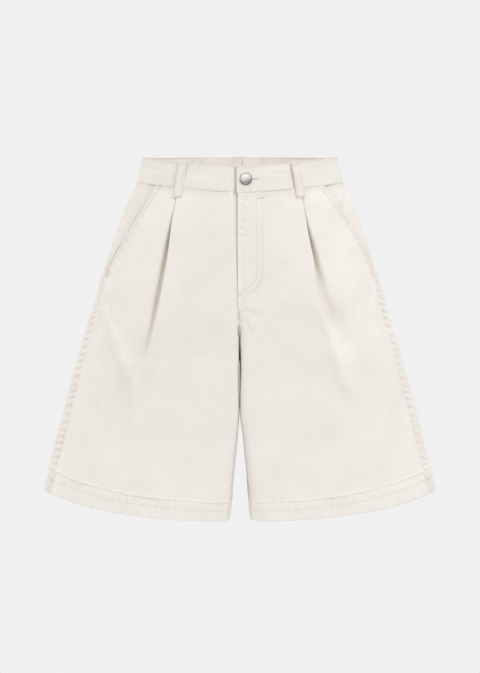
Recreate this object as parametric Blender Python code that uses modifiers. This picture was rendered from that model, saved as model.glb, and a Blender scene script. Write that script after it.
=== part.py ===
"""Bermuda shorts with two deep front pleats, filled out as worn, with no wearer inside.

The garment is a stack of sections. Each section is one half of the body above the crotch,
and one whole leg below it, from the centre front round the side to the centre back.
Every panel, band and loop is cut from the same sections, so that neighbours meet.
Sizes are in millimetres here and become metres when a mesh is made.
The wearer faces -Y, +Z is up, and the origin is the middle of the waist's top edge.
A distance called "down" is measured below that edge at the side of the body.
"""

import math

import bmesh
import bpy
import numpy as np
from mathutils import Matrix, Vector

MM = 0.001

# Cloth and seams
CLOTH = 1.1  # wall of the legs' cotton twill
BAND_CLOTH = 2.6  # waistband, two plies and interfacing
HEM_CLOTH = 2.2  # turned hem, two plies
LOOP_CLOTH = 1.8  # belt loops, folded strip
SEAM = 0.3  # space between two pieces at a seam
LAYER_GAP = 0.5  # space between two pieces that lie on each other
BAND_PROUD = 0.2  # how far the waistband's middle stands out from the sections
HEM_INSET = 0.6  # how far the hem's middle lies inside them

# Lengths down the side
WAISTBAND_HEIGHT = 37.5
LEAN_FADE = (100.0, 180.0)  # the cloth faces partly up above the first and is level below the second
HEM_SEAM_DOWN = 439.5
HEM_DOWN = 471.0
POCKET_END_DOWN = 168.0
FRONT_CROTCH_START = 200.0  # where the front seam turns in between the legs
BACK_CROTCH_START = 150.0
CROTCH_DOWN = 264.0

# Centre front
FLY_END_DOWN = 194.0
FLY_LAP = 3.0  # the left front passes the centre by this much
BAND_LAP = 4.0  # and the left waistband by this much
FLY_UNDERLAP = 12.0  # the right front runs on under it
FLY_RAMP = (4.5, 14.0)  # where the right front dips to go under
BAND_UNDERLAP = 22.0
BAND_RAMP = (4.5, 22.0)

# Slant pockets: the slightly bowed edge, by its distance from the centre
SLANT_COLUMNS = ("down", "x")
SLANTS = {
    "left": ((37.5, 116.5), (67.0, 136.5), (94.0, 153.5), (119.0, 168.0), (138.0, 178.6), (154.0, 184.0),
             (168.0, 187.0)),
    "right": ((37.5, 116.5), (66.0, 133.7), (102.0, 154.7), (120.0, 164.5), (141.0, 175.6), (155.0, 181.8),
              (168.0, 185.4)),
}
FACING_UNDERLAP = 14.0
FACING_RISE = 18.0

# Belt loops and button
LOOP_WIDTH = 12.4
LOOP_TOP_DOWN = 1.0
LOOP_END_DOWN = 50.5
LOOP_BULGE = 2.4
FRONT_LOOP_X = (78.8, 85.8)  # top and bottom end
BACK_SIDE_LOOP_X = 92.0  # at the top edge
BUTTON_X = 8.2
BUTTON_DOWN = 18.8
BUTTON_RADIUS = 8.4
BUTTON_POST_RADIUS = 1.9
BUTTONHOLE_EYE = 2.5
BUTTONHOLE_REACH = 17.0
BUTTONHOLE_SLIT = 1.3

# The sections. half_width is the outline seen from in front; front and back are the depths;
# a peak is how far from the centre the cloth stands furthest forward or back; a round of 0.5
# is an ellipse at the side and 1 comes to an edge; a drop is how much lower the section lies
# at the centre than at the side, and bend says how early; inner is half the space between the
# legs, and slot how much further apart they are in front; a square of 2 is an ellipse between
# the legs and more is squarer; seam_inset is how far in from the outline the side seam lies.
SECTION_COLUMNS = (
    "down", "half_width", "front", "back", "front_peak", "back_peak", "front_round",
    "back_round", "front_drop", "back_drop", "bend", "inner", "slot", "front_square",
    "back_square", "seam_inset",
)
SECTIONS = (
    (0.0, 136.9, 95.0, 90.0, 1.0, 1.0, 0.50, 0.50, -16.5, 3.0, 0.45, 0.2, 0.0, 11, 8, 0.0),
    (37.5, 145.2, 99.5, 97.0, 4.0, 6.0, 0.51, 0.50, -15.2, 2.0, 0.60, 0.2, 0.0, 11, 8, 0.0),
    (60.0, 156.4, 102.5, 103.0, 12.0, 20.0, 0.52, 0.50, -15.0, 1.0, 0.50, 0.2, 0.0, 11, 8, 1.0),
    (92.0, 169.6, 106.0, 112.0, 28.0, 42.0, 0.54, 0.50, -15.2, -1.0, 0.45, 0.2, 0.0, 11, 8, 2.5),
    (149.0, 189.3, 110.0, 123.0, 60.0, 66.0, 0.57, 0.51, -16.0, -6.0, 0.45, 0.2, 0.0, 11, 8, 5.2),
    (200.0, 205.0, 112.0, 127.0, 88.0, 85.0, 0.59, 0.52, -19.0, -14.0, 0.55, 0.2, 0.0, 11, 8, 10.0),
    (220.0, 211.4, 112.0, 126.0, 95.0, 91.0, 0.60, 0.53, -21.0, -18.0, 0.60, 0.2, 1.0, 10, 8, 10.8),
    (264.0, 225.3, 112.0, 122.0, 108.0, 104.0, 0.61, 0.54, -26.0, -26.0, 0.70, 0.2, 1.3, 10, 7, 12.0),
    (322.0, 240.8, 111.0, 117.0, 120.0, 118.0, 0.62, 0.56, -31.0, -31.0, 0.80, 0.3, 1.1, 9, 6, 12.4),
    (353.0, 249.0, 110.0, 114.5, 126.0, 125.0, 0.62, 0.57, -34.0, -34.0, 0.85, 2.2, 0.4, 8, 5.5, 12.6),
    (395.0, 260.2, 109.0, 112.0, 133.0, 132.0, 0.62, 0.58, -37.0, -37.0, 0.92, 6.6, 0.0, 6, 5, 12.8),
    (439.5, 271.4, 107.0, 109.0, 141.0, 141.0, 0.62, 0.59, -39.8, -39.8, 1.00, 10.8, 0.0, 4.4, 4.4, 12.8),
    (471.0, 279.4, 105.5, 107.0, 146.0, 146.0, 0.62, 0.60, -33.3, -33.3, 1.00, 13.4, 0.0, 4, 4, 12.8),
)

# The front pleat, read down its length. x is the fold edge's distance from the centre; tuck is
# how far the cloth runs back under that edge, or, below 0, how far the step has opened out;
# gape is how wide the pleat stands open beside the edge, and deep is how far its floor lies back.
PLEAT_COLUMNS = ("down", "x", "tuck", "gape", "deep")
PLEATS = {
    "left": (
        (37.5, 83.2, 16.0, 0.6, 4.8),
        (60.0, 87.2, 15.5, 0.8, 4.8),
        (80.0, 90.8, 15.0, 1.8, 6.4),
        (98.0, 94.0, 13.5, 3.4, 9.0),
        (114.0, 97.1, 12.0, 5.2, 10.6),
        (136.0, 101.2, 9.5, 7.6, 10.0),
        (158.0, 105.4, 5.5, 10.5, 8.0),
        (178.0, 110.0, 1.0, 12.0, 6.6),
        (200.0, 116.8, -3.5, 11.0, 5.2),
        (222.0, 124.6, -6.0, 10.0, 4.0),
        (245.0, 133.5, -8.0, 9.0, 2.2),
        (285.0, 147.0, -8.0, 8.0, 0.0),
        (444.0, 166.0, -8.0, 8.0, 0.0),
    ),
    "right": (
        (37.5, 84.3, 16.0, 0.6, 4.8),
        (60.0, 88.4, 15.5, 0.8, 4.8),
        (76.0, 91.6, 15.0, 1.8, 6.4),
        (92.0, 94.0, 14.0, 3.2, 8.6),
        (110.0, 97.0, 13.0, 5.0, 10.6),
        (132.0, 100.5, 11.5, 7.0, 10.4),
        (160.0, 105.4, 9.0, 7.9, 9.0),
        (190.0, 111.2, 5.0, 7.8, 6.8),
        (210.0, 115.4, 1.0, 7.0, 5.2),
        (222.0, 118.2, -2.0, 6.2, 4.2),
        (240.0, 122.6, -4.5, 5.0, 2.8),
        (268.0, 130.0, -6.0, 4.0, 1.2),
        (300.0, 138.0, -8.0, 4.0, 0.0),
        (444.0, 166.0, -8.0, 4.0, 0.0),
    ),
}
PLEAT_EDGE_RAISE = 0.9
PLEAT_LAYER = 2.4  # from one layer of the tuck to the next
PLEAT_BEFORE = 16.0  # from the pleat's first column to its edge
PLEAT_AFTER = 34.0  # from its edge to its last column

# The pleat's cloth from its edge to its floor, as shares: folded_x of the tuck and open_x of the
# opened step along the cloth, cliff of the depth once the step is open, and while it is folded
# the layer that the cloth lies in (0 the edge, 1 the middle, 2 the floor) and its part in it.
PROFILE_COLUMNS = ("folded_x", "open_x", "cliff", "layer", "part")
PLEAT_PROFILE = (
    (0.00, 0.00, 0.12, 0, 1.0),
    (0.14, 0.15, 0.28, 1, 1.0),
    (0.50, 0.34, 0.44, 1, 1.0),
    (0.86, 0.50, 0.56, 1, 1.0),
    (1.00, 0.66, 0.68, 1, 0.5),
    (0.86, 0.82, 0.82, 2, 1.0),
    (0.40, 1.00, 0.95, 2, 1.0),
)

# Soft folds of the fronts, as a ridge or, with a negative height, a trough between two places.
FOLD_COLUMNS = ("x0", "down0", "x1", "down1", "width", "height")
FRONT_FOLDS = {
    "left": (
        (114.0, 205.0, 162.0, 308.0, 11.0, 3.5),
        (131.0, 214.0, 160.0, 270.0, 11.0, -4.5),
    ),
    "right": (
        (186.0, 205.0, 162.0, 330.0, 12.0, -7.0),
        (157.0, 215.0, 144.0, 300.0, 14.0, 3.0),
    ),
}
BACK_FOLDS = {
    "left": ((70.0, 240.0, 120.0, 380.0, 26.0, -5.0),),
    "right": ((84.0, 230.0, 128.0, 390.0, 24.0, -4.5),),
}
FOLD_FADE = 0.35  # share of a fold's length over which each end dies away

SIDES = {"left": 1.0, "right": -1.0}
COLOURS = {  # linear RGB, roughness, metallic
    "ecru_twill": ((0.84, 0.80, 0.75), 0.92, 0.0),
    "silver_metal": ((0.62, 0.60, 0.57), 0.32, 1.0),
}


# Curves through tables

def curve(table, columns, name):
    """A smooth function of the table's first column that never overshoots its rows."""
    xs = np.array([row[0] for row in table], float)
    ys = np.array([row[columns.index(name)] for row in table], float)
    steps = np.diff(xs)
    rises = np.diff(ys) / steps
    slopes = np.zeros(len(xs))
    slopes[0], slopes[-1] = rises[0], rises[-1]
    for i in range(1, len(xs) - 1):
        before, after = rises[i - 1], rises[i]
        if before * after > 0:
            first, second = 2 * steps[i] + steps[i - 1], steps[i] + 2 * steps[i - 1]
            slopes[i] = (first + second) / (first / before + second / after)

    def value(x):
        x = min(max(x, xs[0]), xs[-1])
        i = min(max(int(np.searchsorted(xs, x)) - 1, 0), len(steps) - 1)
        t = (x - xs[i]) / steps[i]
        return float(
            ys[i] * (1 + 2 * t) * (1 - t) ** 2
            + ys[i + 1] * t * t * (3 - 2 * t)
            + steps[i] * t * (1 - t) * (slopes[i] * (1 - t) - slopes[i + 1] * t)
        )

    return value


SIZE = {name: curve(SECTIONS, SECTION_COLUMNS, name) for name in SECTION_COLUMNS[1:]}
PLEAT = {
    side: {name: curve(table, PLEAT_COLUMNS, name) for name in PLEAT_COLUMNS[1:]}
    for side, table in PLEATS.items()
}
SLANT_X = {side: curve(table, SLANT_COLUMNS, "x") for side, table in SLANTS.items()}


def ease(x, start, end):
    """0 before start, 1 after end and smooth between them."""
    t = min(max((x - start) / (end - start), 0.0), 1.0)
    return t * t * (3 - 2 * t)


# Sections

def crotch_share(down, start):
    """How much of the depth the centre seam keeps: 1 above the crotch curve, 0 at its end."""
    if down <= start:
        return 0.9999
    height = (CROTCH_DOWN - down) / (CROTCH_DOWN - start)
    return min(0.9999, math.sqrt(max(0.0, 1 - (1 - height) ** 2)))


def inner_quarter(peak, depth, square, down, start, inner):
    """Points from the centre edge to the peak of one quarter, as (x, distance from the middle)."""
    steps = 48
    if down >= CROTCH_DOWN:
        reach, first_angle = peak - inner, 0.0
    else:
        share = crotch_share(down, start)
        cut = (1 - share**square) ** (1 / square)
        reach, first_angle = peak / cut, math.atan2(share, cut)
    points = []
    for i in range(steps + 1):
        angle = first_angle + (math.pi / 2 - first_angle) * i / steps
        cosine, sine = abs(math.cos(angle)), abs(math.sin(angle))
        size = (cosine**square + sine**square) ** (-1 / square)
        points.append((peak - reach * size * cosine, depth * size * sine))
    return points


def outer_quarter(peak, depth, side_round, half_width):
    """Points from the peak to the outline at the side."""
    steps = 60
    points = []
    for i in range(1, steps + 1):
        angle = math.pi / 2 * i / steps
        x = peak + (half_width - peak) * math.sin(angle)
        points.append((x, depth * abs(math.cos(angle)) ** (2 * side_round)))
    points[-1] = (half_width, 0.0)
    return points


def opened(points, slot, depth):
    """The points between the legs moved apart, by nothing at the seam and by slot in front."""
    start = points[0][1]
    run = max(depth - start, 1.0)
    moved = []
    for x, y in points:
        share = ease((y - start) / run, 0.0, 0.85) * (1 - ease(x, 8.0, 60.0))
        moved.append((x + slot * share, y))
    return moved


def clear_of_middle(points):
    """The points moved off the middle plane, so that two walls that meet there stay apart."""
    (x0, y0), (x1, y1) = points[0], points[1]
    lean = abs(y1 - y0) / math.hypot(x1 - x0, y1 - y0)
    shift = SEAM / 2 + CLOTH / 2 * lean
    reach = 30.0
    return [(x + shift * max(0.0, 1 - (x - x0) / reach), y) for x, y in points]


class Section:
    """The curve of one level on the wearer's left, measured by arc length from the centre front."""

    def __init__(self, down):
        self.down = down
        size = {name: SIZE[name](down) for name in SIZE}
        half_width = size["half_width"]
        inner = size["inner"] if down >= CROTCH_DOWN else 0.0
        front = inner_quarter(size["front_peak"], size["front"], size["front_square"],
                              down, FRONT_CROTCH_START, inner)
        front += outer_quarter(size["front_peak"], size["front"], size["front_round"], half_width)
        back = inner_quarter(size["back_peak"], size["back"], size["back_square"],
                             down, BACK_CROTCH_START, inner)
        back += outer_quarter(size["back_peak"], size["back"], size["back_round"], half_width)
        self.tip_index = len(front) - 1
        front = clear_of_middle(opened(front, size["slot"], size["front"]))
        back = clear_of_middle(back)
        points = [(x, -y, "front_drop") for x, y in front]
        points += [(x, y, "back_drop") for x, y in reversed(back[:-1])]
        self.points = np.array([
            (x, y, self.height(x, half_width, inner, size[drop], size["bend"]))
            for x, y, drop in points
        ])
        lengths = np.linalg.norm(np.diff(self.points, axis=0), axis=1)
        self.arcs = np.concatenate([[0.0], np.cumsum(lengths)])
        self.length = float(self.arcs[-1])
        self.tip = float(self.arcs[self.tip_index])
        self.seam = self.arc_of_x(half_width - size["seam_inset"])
        self.front_corner = self.corner(0, size["front"], inner)
        self.back_corner = self.corner(-1, size["back"], inner)

    def height(self, x, half_width, inner, drop, bend):
        share = min(max((half_width - x) / (half_width - inner), 0.0), 1.0)
        return -self.down + drop * share * (1 + bend - bend * share)

    def arc_of_x(self, x):
        """Arc length where the front, past its inner corner, reaches x."""
        first = int(np.argmin(self.points[: self.tip_index, 1]))
        xs = self.points[: self.tip_index + 1, 0].copy()
        xs[: first + 1] = np.minimum(xs[: first + 1], xs[first])
        return float(np.interp(x, xs, self.arcs[: self.tip_index + 1]))

    def back_arc_of_x(self, x):
        """Arc length where the back, past the side, has come in to x."""
        xs = self.points[self.tip_index:, 0][::-1]
        return float(np.interp(x, xs, self.arcs[self.tip_index:][::-1]))

    def corner(self, end, depth, inner):
        """(arc where the face between the legs starts to turn, arc where it has turned)."""
        turn = 14.0
        if end == 0:
            arcs, points = self.arcs[: self.tip_index], self.points[: self.tip_index]
        else:
            arcs, points = (self.length - self.arcs)[::-1], self.points[::-1]
            arcs, points = arcs[: -self.tip_index - 1], points[: -self.tip_index - 1]
        turned = float(arcs[np.argmax(points[:, 0] >= inner + turn)])
        begins = float(arcs[np.argmax(np.abs(points[:, 1]) >= depth - turn)])
        return max(min(begins, turned * 0.9), turned * 0.45), turned

    def at(self, arc):
        """The point at an arc length, which before the centre front is on the other side."""
        if arc < 0:
            return self.at(-arc) * np.array([-1.0, 1.0, 1.0])
        return np.array([np.interp(arc, self.arcs, self.points[:, k]) for k in range(3)])

    def level_normal(self, arc):
        """The level direction square to the curve, pointing out of the garment."""
        reach = 1.2
        low = arc - reach if arc < 0 else max(arc - reach, 0.0)
        along = self.at(min(arc + reach, self.length)) - self.at(low)
        normal = np.array([along[1], -along[0], 0.0])
        return normal / np.linalg.norm(normal)

    def outward(self, arc):
        """The direction square to the cloth, with the upward lean that it has near the waist."""
        normal = self.level_normal(arc)
        share = 1 - ease(self.down, *LEAN_FADE)
        if share > 0:
            step = 4.0
            above, below = section(max(self.down - step, 0.0)), section(self.down + step)
            part = max(arc, 0.0) / self.length
            fall = below.at(part * below.length) - above.at(part * above.length)
            normal = normal + np.array([0.0, 0.0, share * float(fall @ normal) / abs(fall[2])])
        return normal / np.linalg.norm(normal)


SECTION_CACHE = {}


def section(down):
    key = round(down, 4)
    if key not in SECTION_CACHE:
        SECTION_CACHE[key] = Section(down)
    return SECTION_CACHE[key]


# Meshes

def material(name):
    made = bpy.data.materials.get(name)
    if made:
        return made
    colour, roughness, metallic = COLOURS[name]
    made = bpy.data.materials.new(name)
    made.use_nodes = True
    shader = made.node_tree.nodes["Principled BSDF"]
    shader.inputs["Base Color"].default_value = (*colour, 1.0)
    shader.inputs["Roughness"].default_value = roughness
    shader.inputs["Metallic"].default_value = metallic
    made.diffuse_color = (*colour, 1.0)
    return made


def add_object(name, mesh, slot, collection):
    made = bpy.data.objects.new(name, mesh)
    mesh.materials.append(material(slot))
    mesh.shade_smooth()
    collection.objects.link(made)
    return made


def cloth(name, side, rows, wall, collection):
    """A closed wall of cloth round the middle surface that the rows of points describe.

    The rows are given for the wearer's left, centre front first and top row first,
    and side mirrors them for the right.
    """
    flip = SIDES[side]
    shape = bmesh.new()
    grid = [[shape.verts.new((p[0] * flip * MM, p[1] * MM, p[2] * MM)) for p in row] for row in rows]
    for upper, lower in zip(grid, grid[1:]):
        for i in range(len(upper) - 1):
            corners = (upper[i], lower[i], lower[i + 1], upper[i + 1])
            shape.faces.new(corners if flip > 0 else corners[::-1])
    mesh = bpy.data.meshes.new(name)
    shape.to_mesh(mesh)
    shape.free()
    made = add_object(name, mesh, "ecru_twill", collection)
    thick = made.modifiers.new("cloth", "SOLIDIFY")
    thick.thickness = wall * MM
    thick.offset = 0.0
    thick.use_even_offset = True
    thick.thickness_clamp = 0.0
    thick.use_quality_normals = True
    return made


def spaced(start, end, count):
    """count values after start, the last of them at end."""
    return [start + (end - start) * (i + 1) / count for i in range(count)]


# Front panels

def inseam_space(down):
    """How far a panel's edge keeps from the middle of the face between the legs."""
    return SEAM / 2 if down >= CROTCH_DOWN - 0.001 else 0.0


def lap_share(down):
    """1 where the fly laps, 0 below its end."""
    return 1 - ease(down, FLY_END_DOWN - 8, FLY_END_DOWN + 6)


def under_share(down):
    """1 where the right front lies under the left one, 0 where the lap has ended."""
    return 1 - ease(down, FLY_END_DOWN + 7, FLY_END_DOWN + 19)


def slant_arc(side, level):
    """Where the pocket's slanted edge crosses a level."""
    return level.arc_of_x(SLANT_X[side](level.down))


def fold_height(folds, x, down):
    """The soft folds' height at a place on a panel."""
    height = 0.0
    for row in folds:
        fold = dict(zip(FOLD_COLUMNS, row))
        run = np.array([fold["x1"] - fold["x0"], fold["down1"] - fold["down0"]])
        offset = np.array([x - fold["x0"], down - fold["down0"]])
        along = float(offset @ run / (run @ run))
        across = float(abs(offset[0] * run[1] - offset[1] * run[0]) / np.linalg.norm(run))
        ends = ease(along, -FOLD_FADE, FOLD_FADE) * (1 - ease(along, 1 - FOLD_FADE, 1 + FOLD_FADE))
        height += fold["height"] * ends * math.exp(-((across / fold["width"]) ** 2))
    return height


def pleat_profile(side, down):
    """The pleat across its edge, as (arc past the edge, height above the cloth)."""
    pleat = {name: PLEAT[side][name](down) for name in PLEAT[side]}
    gape, deep = pleat["gape"], pleat["deep"]
    folded, spread = max(pleat["tuck"], 0.0), max(-pleat["tuck"], 0.0)
    layered = ease(folded, 0.0, 5.0)
    top = PLEAT_EDGE_RAISE * min(1.0, deep / PLEAT_LAYER / 2)
    below = (PLEAT_LAYER / 2, max(PLEAT_LAYER, 0.42 * deep), max(2 * PLEAT_LAYER, deep))
    points = [(-PLEAT_BEFORE, 0.0), (-8.0, top * 0.6), (-2.2, top)]
    for row in PLEAT_PROFILE:
        part = dict(zip(PROFILE_COLUMNS, row))
        lies = below[part["layer"]] * part["part"] + below[2] * (1 - part["part"])
        drop = lies * layered + part["cliff"] * deep * (1 - layered)
        points.append((spread * part["open_x"] - folded * part["folded_x"], top - drop))
    floor = points[-1][1]
    for past, share in ((gape * 0.6, 0.97), (gape + 0.6, 0.30), (gape + 6.0, 0.05)):
        points.append((spread + past, floor * share))
    return points + [(PLEAT_AFTER, 0.0)]


def front_row(side, down, end_space):
    """Points of one row of a front panel, from the centre edge to the side."""
    level = section(down)
    lap = lap_share(down)
    start = inseam_space(down) - (FLY_LAP if side == "left" else FLY_UNDERLAP) * lap
    begins, turned = level.front_corner
    edge = level.arc_of_x(PLEAT[side]["x"](down))
    if down < POCKET_END_DOWN:
        end = min(slant_arc(side, level), level.seam - end_space)
    else:
        end = level.seam - end_space
    arcs = [start] + spaced(start, begins, 3) + spaced(begins, turned, 3)
    heights = [0.0] * len(arcs)
    plain = spaced(turned, edge - PLEAT_BEFORE, 4)[:-1]
    arcs += plain
    heights += [0.0] * len(plain)
    after = min(PLEAT_AFTER, (end - edge) * 0.8)
    for arc, height in pleat_profile(side, down):
        if arc > 0:
            arc *= after / PLEAT_AFTER
        arcs.append(edge + arc)
        heights.append(height)
    rest = spaced(edge + after, end, 5)
    arcs += rest
    heights += [0.0] * len(rest)
    points = []
    for arc, height in zip(arcs, heights):
        point = level.at(arc)
        if side == "right":
            height -= (CLOTH + LAYER_GAP) * under_share(down) * (1 - ease(arc, *FLY_RAMP))
        flat_edge = 1 - ease(arc, end - 16.0, end - 3.0)
        height += fold_height(FRONT_FOLDS[side], point[0], down) * flat_edge
        points.append(point + level.outward(arc) * height)
    return points


def panel_levels():
    """The levels of the leg panels' rows, close together where the crotch seam curves."""
    levels = [WAISTBAND_HEIGHT + SEAM, 50, 64, 80, 98, 117, 136, 154, POCKET_END_DOWN, 187]
    turn = CROTCH_DOWN - FRONT_CROTCH_START
    levels += [FRONT_CROTCH_START + turn * math.sin(math.radians(angle)) for angle in (0, 22, 42, 62, 90)]
    return levels + spaced(CROTCH_DOWN, HEM_SEAM_DOWN - SEAM, 7)


def front_panel(side, collection):
    rows = [front_row(side, down, SEAM / 2) for down in panel_levels()]
    return cloth(f"front_{side}", side, rows, CLOTH, collection)


# Back panels, pocket facings and hems

def side_arcs(level):
    """The first points of a back piece: the side seam, and on to the outline."""
    start = level.seam + SEAM / 2
    return [start] + spaced(start, max(level.tip, start + 8), 2)


def back_row(side, down):
    """Points of one row of a back panel, from the side seam to the centre back or the inseam."""
    level = section(down)
    begins, turned = level.back_corner
    arcs = side_arcs(level)
    arcs += spaced(arcs[-1], level.length - turned, 9)
    arcs += spaced(level.length - turned, level.length - begins, 2)
    arcs += spaced(level.length - begins, level.length - inseam_space(down), 3)
    points = []
    for arc in arcs:
        point = level.at(arc)
        height = fold_height(BACK_FOLDS[side], point[0], down) if arc > level.tip else 0.0
        points.append(point + level.outward(arc) * height)
    return points


def back_panel(side, collection):
    rows = [back_row(side, down) for down in panel_levels()]
    return cloth(f"back_{side}", side, rows, CLOTH, collection)


def pocket_facing(side, collection):
    """The cloth that shows between a slanted pocket edge and the side seam."""
    rows = []
    levels = [down for down in panel_levels() if down < POCKET_END_DOWN - 0.001]
    for down in levels + [POCKET_END_DOWN - 2.0]:
        level = section(down)
        slant = slant_arc(side, level)
        depth = CLOTH + LAYER_GAP + 0.5 * ease(down, 110.0, POCKET_END_DOWN)
        row = []
        for arc in [slant - FACING_UNDERLAP] + spaced(slant - FACING_UNDERLAP, level.seam - SEAM / 2, 5):
            height = -depth * (1 - ease(arc, slant + 1.5, slant + FACING_RISE))
            row.append(level.at(arc) + level.outward(arc) * height)
        rows.append(row)
    return cloth(f"pocket_facing_{side}", side, rows, CLOTH, collection)


def hem_band(side, face, collection):
    """The hem below its seam, one piece in front and one behind on each leg."""
    rows = []
    for down in [HEM_SEAM_DOWN] + spaced(HEM_SEAM_DOWN, HEM_DOWN, 2):
        level = section(down)
        if face == "front":
            begins, turned = level.front_corner
            arcs = [SEAM / 2] + spaced(SEAM / 2, begins, 3) + spaced(begins, turned, 3)
            arcs += spaced(turned, level.seam - SEAM / 2, 12)
        else:
            begins, turned = level.back_corner
            arcs = side_arcs(level)
            arcs += spaced(arcs[-1], level.length - turned, 10)
            arcs += spaced(level.length - turned, level.length - begins, 3)
            arcs += spaced(level.length - begins, level.length - SEAM / 2, 3)
        rows.append([level.at(arc) - level.outward(arc) * HEM_INSET for arc in arcs])
    return cloth(f"hem_{face}_{side}", side, rows, HEM_CLOTH, collection)


# Waistband

def waistband_row(side, down):
    level = section(down)
    start = -BAND_LAP if side == "left" else -BAND_UNDERLAP
    arcs = [start, start + 4] + spaced(start + 4, BAND_RAMP[1], 4)
    arcs += spaced(BAND_RAMP[1], level.length, 28)
    points = []
    for arc in arcs:
        height = BAND_PROUD
        if side == "right":
            height -= (BAND_CLOTH + LAYER_GAP) * (1 - ease(arc, *BAND_RAMP))
        points.append(level.at(arc) + level.outward(arc) * height)
    return points


def waistband(side, collection):
    rows = [waistband_row(side, down) for down in [0.0] + spaced(0.0, WAISTBAND_HEIGHT, 3)]
    return cloth(f"waistband_{side}", side, rows, BAND_CLOTH, collection)


def surface_frame(arc, down):
    """(point, direction along the waist, direction down, outward direction) on the left half."""
    step = 3.0
    level = section(down)
    share = arc / level.length
    above, below = section(down - step), section(down + step)
    fall = below.at(share * below.length) - above.at(share * above.length)
    along = level.at(arc + step) - level.at(arc - step)
    fall, along = fall / np.linalg.norm(fall), along / np.linalg.norm(along)
    out = np.cross(fall, along)
    return level.at(arc), along, fall, out / np.linalg.norm(out)


def belt_loop(name, side, place, collection):
    """A strip from the waist's top edge to just below the waistband, standing off between its ends.

    place(level, share) gives the arc of the strip's middle at a share of its length.
    """
    steps = 10
    on_band = BAND_PROUD + BAND_CLOTH / 2 + SEAM + LOOP_CLOTH / 2
    on_panel = PLEAT_EDGE_RAISE + CLOTH / 2 + SEAM + LOOP_CLOTH / 2
    rows = []
    for i in range(steps + 1):
        share = i / steps
        down = LOOP_TOP_DOWN + (LOOP_END_DOWN - LOOP_TOP_DOWN) * share
        level = section(down)
        middle = place(level, share)
        low = ease(down, WAISTBAND_HEIGHT, WAISTBAND_HEIGHT + 9)
        height = on_band * (1 - low) + on_panel * low + LOOP_BULGE * math.sin(math.pi * share) ** 0.8
        out = level.outward(middle)
        along = np.array([-out[1], out[0], 0.0])
        centre = level.at(middle) + out * height
        rows.append([centre + along * LOOP_WIDTH * across for across in (-0.5, -0.17, 0.17, 0.5)])
    return cloth(name, side, rows, LOOP_CLOTH, collection)


def front_loop_place(level, share):
    top, bottom = FRONT_LOOP_X
    return level.arc_of_x(top + (bottom - top) * share)


def back_side_loop_place(level, _share):
    widening = SIZE["half_width"](level.down) / SIZE["half_width"](0.0)
    return level.back_arc_of_x(BACK_SIDE_LOOP_X * widening)


def centre_back_place(level, _share):
    return level.length


# Button

def cutter(name, make, placing, collection):
    mesh = bpy.data.meshes.new(name)
    shape = bmesh.new()
    make(shape)
    shape.to_mesh(mesh)
    shape.free()
    made = bpy.data.objects.new(name, mesh)
    made.matrix_world = placing
    made.hide_render = True
    made.display_type = "WIRE"
    collection.objects.link(made)
    return made


def button_placing():
    """A frame on the waistband's face: its X along the waist, its Z out of the cloth."""
    point, along, _, out = surface_frame(BUTTON_X, BUTTON_DOWN)
    across = np.cross(out, along)
    face = point + out * (BAND_PROUD + BAND_CLOTH / 2)
    columns = [Vector(along), Vector(across), Vector(out)]
    turn = Matrix([[columns[c][r] for c in range(3)] for r in range(3)])
    return Matrix.Translation(Vector(face) * MM) @ turn.to_4x4()


def buttonhole(band, placing, collection):
    """A keyhole through the left waistband: a round eye at the button's post and a slit."""
    depth = 12 * MM

    def eye(shape):
        bmesh.ops.create_cone(shape, cap_ends=True, segments=14, radius1=BUTTONHOLE_EYE * MM,
                              radius2=BUTTONHOLE_EYE * MM, depth=depth)

    def slit(shape):
        length = BUTTONHOLE_REACH
        sizes = Matrix.Diagonal((length * MM, BUTTONHOLE_SLIT * MM, depth, 1.0))
        bmesh.ops.create_cube(shape, size=1.0, matrix=Matrix.Translation((length / 2 * MM, 0, 0)) @ sizes)

    for name, make in (("buttonhole_eye", eye), ("buttonhole_slit", slit)):
        cut = band.modifiers.new(name, "BOOLEAN")
        cut.operation = "DIFFERENCE"
        cut.solver = "EXACT"
        cut.object = cutter(name, make, placing, collection)


def button(placing, collection):
    """A domed metal button: a turned cap and rim on a post that passes through the buttonhole."""
    post_end = -(BAND_CLOTH + LAYER_GAP - SEAM)
    profile = (
        (0.0, 4.4), (2.6, 4.2), (5.0, 3.6), (7.0, 2.6), (8.1, 1.5), (BUTTON_RADIUS, 0.9),
        (BUTTON_RADIUS - 0.3, 0.4), (7.2, SEAM), (BUTTON_POST_RADIUS + 0.3, SEAM),
        (BUTTON_POST_RADIUS, -0.4), (BUTTON_POST_RADIUS, post_end), (0.0, post_end),
    )
    mesh = bpy.data.meshes.new("waist_button")
    shape = bmesh.new()
    points = [shape.verts.new((r * MM, 0.0, z * MM)) for r, z in profile]
    for first, second in zip(points, points[1:]):
        shape.edges.new((first, second))
    shape.to_mesh(mesh)
    shape.free()
    made = add_object("waist_button", mesh, "silver_metal", collection)
    turned = made.modifiers.new("turned", "SCREW")
    turned.steps = 28
    turned.render_steps = 28
    turned.use_merge_vertices = True
    turned.merge_threshold = 0.00001
    made.matrix_world = placing
    return made


# The whole garment

def new_collection(name):
    made = bpy.data.collections.new(name)
    bpy.context.scene.collection.children.link(made)
    return made


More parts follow.
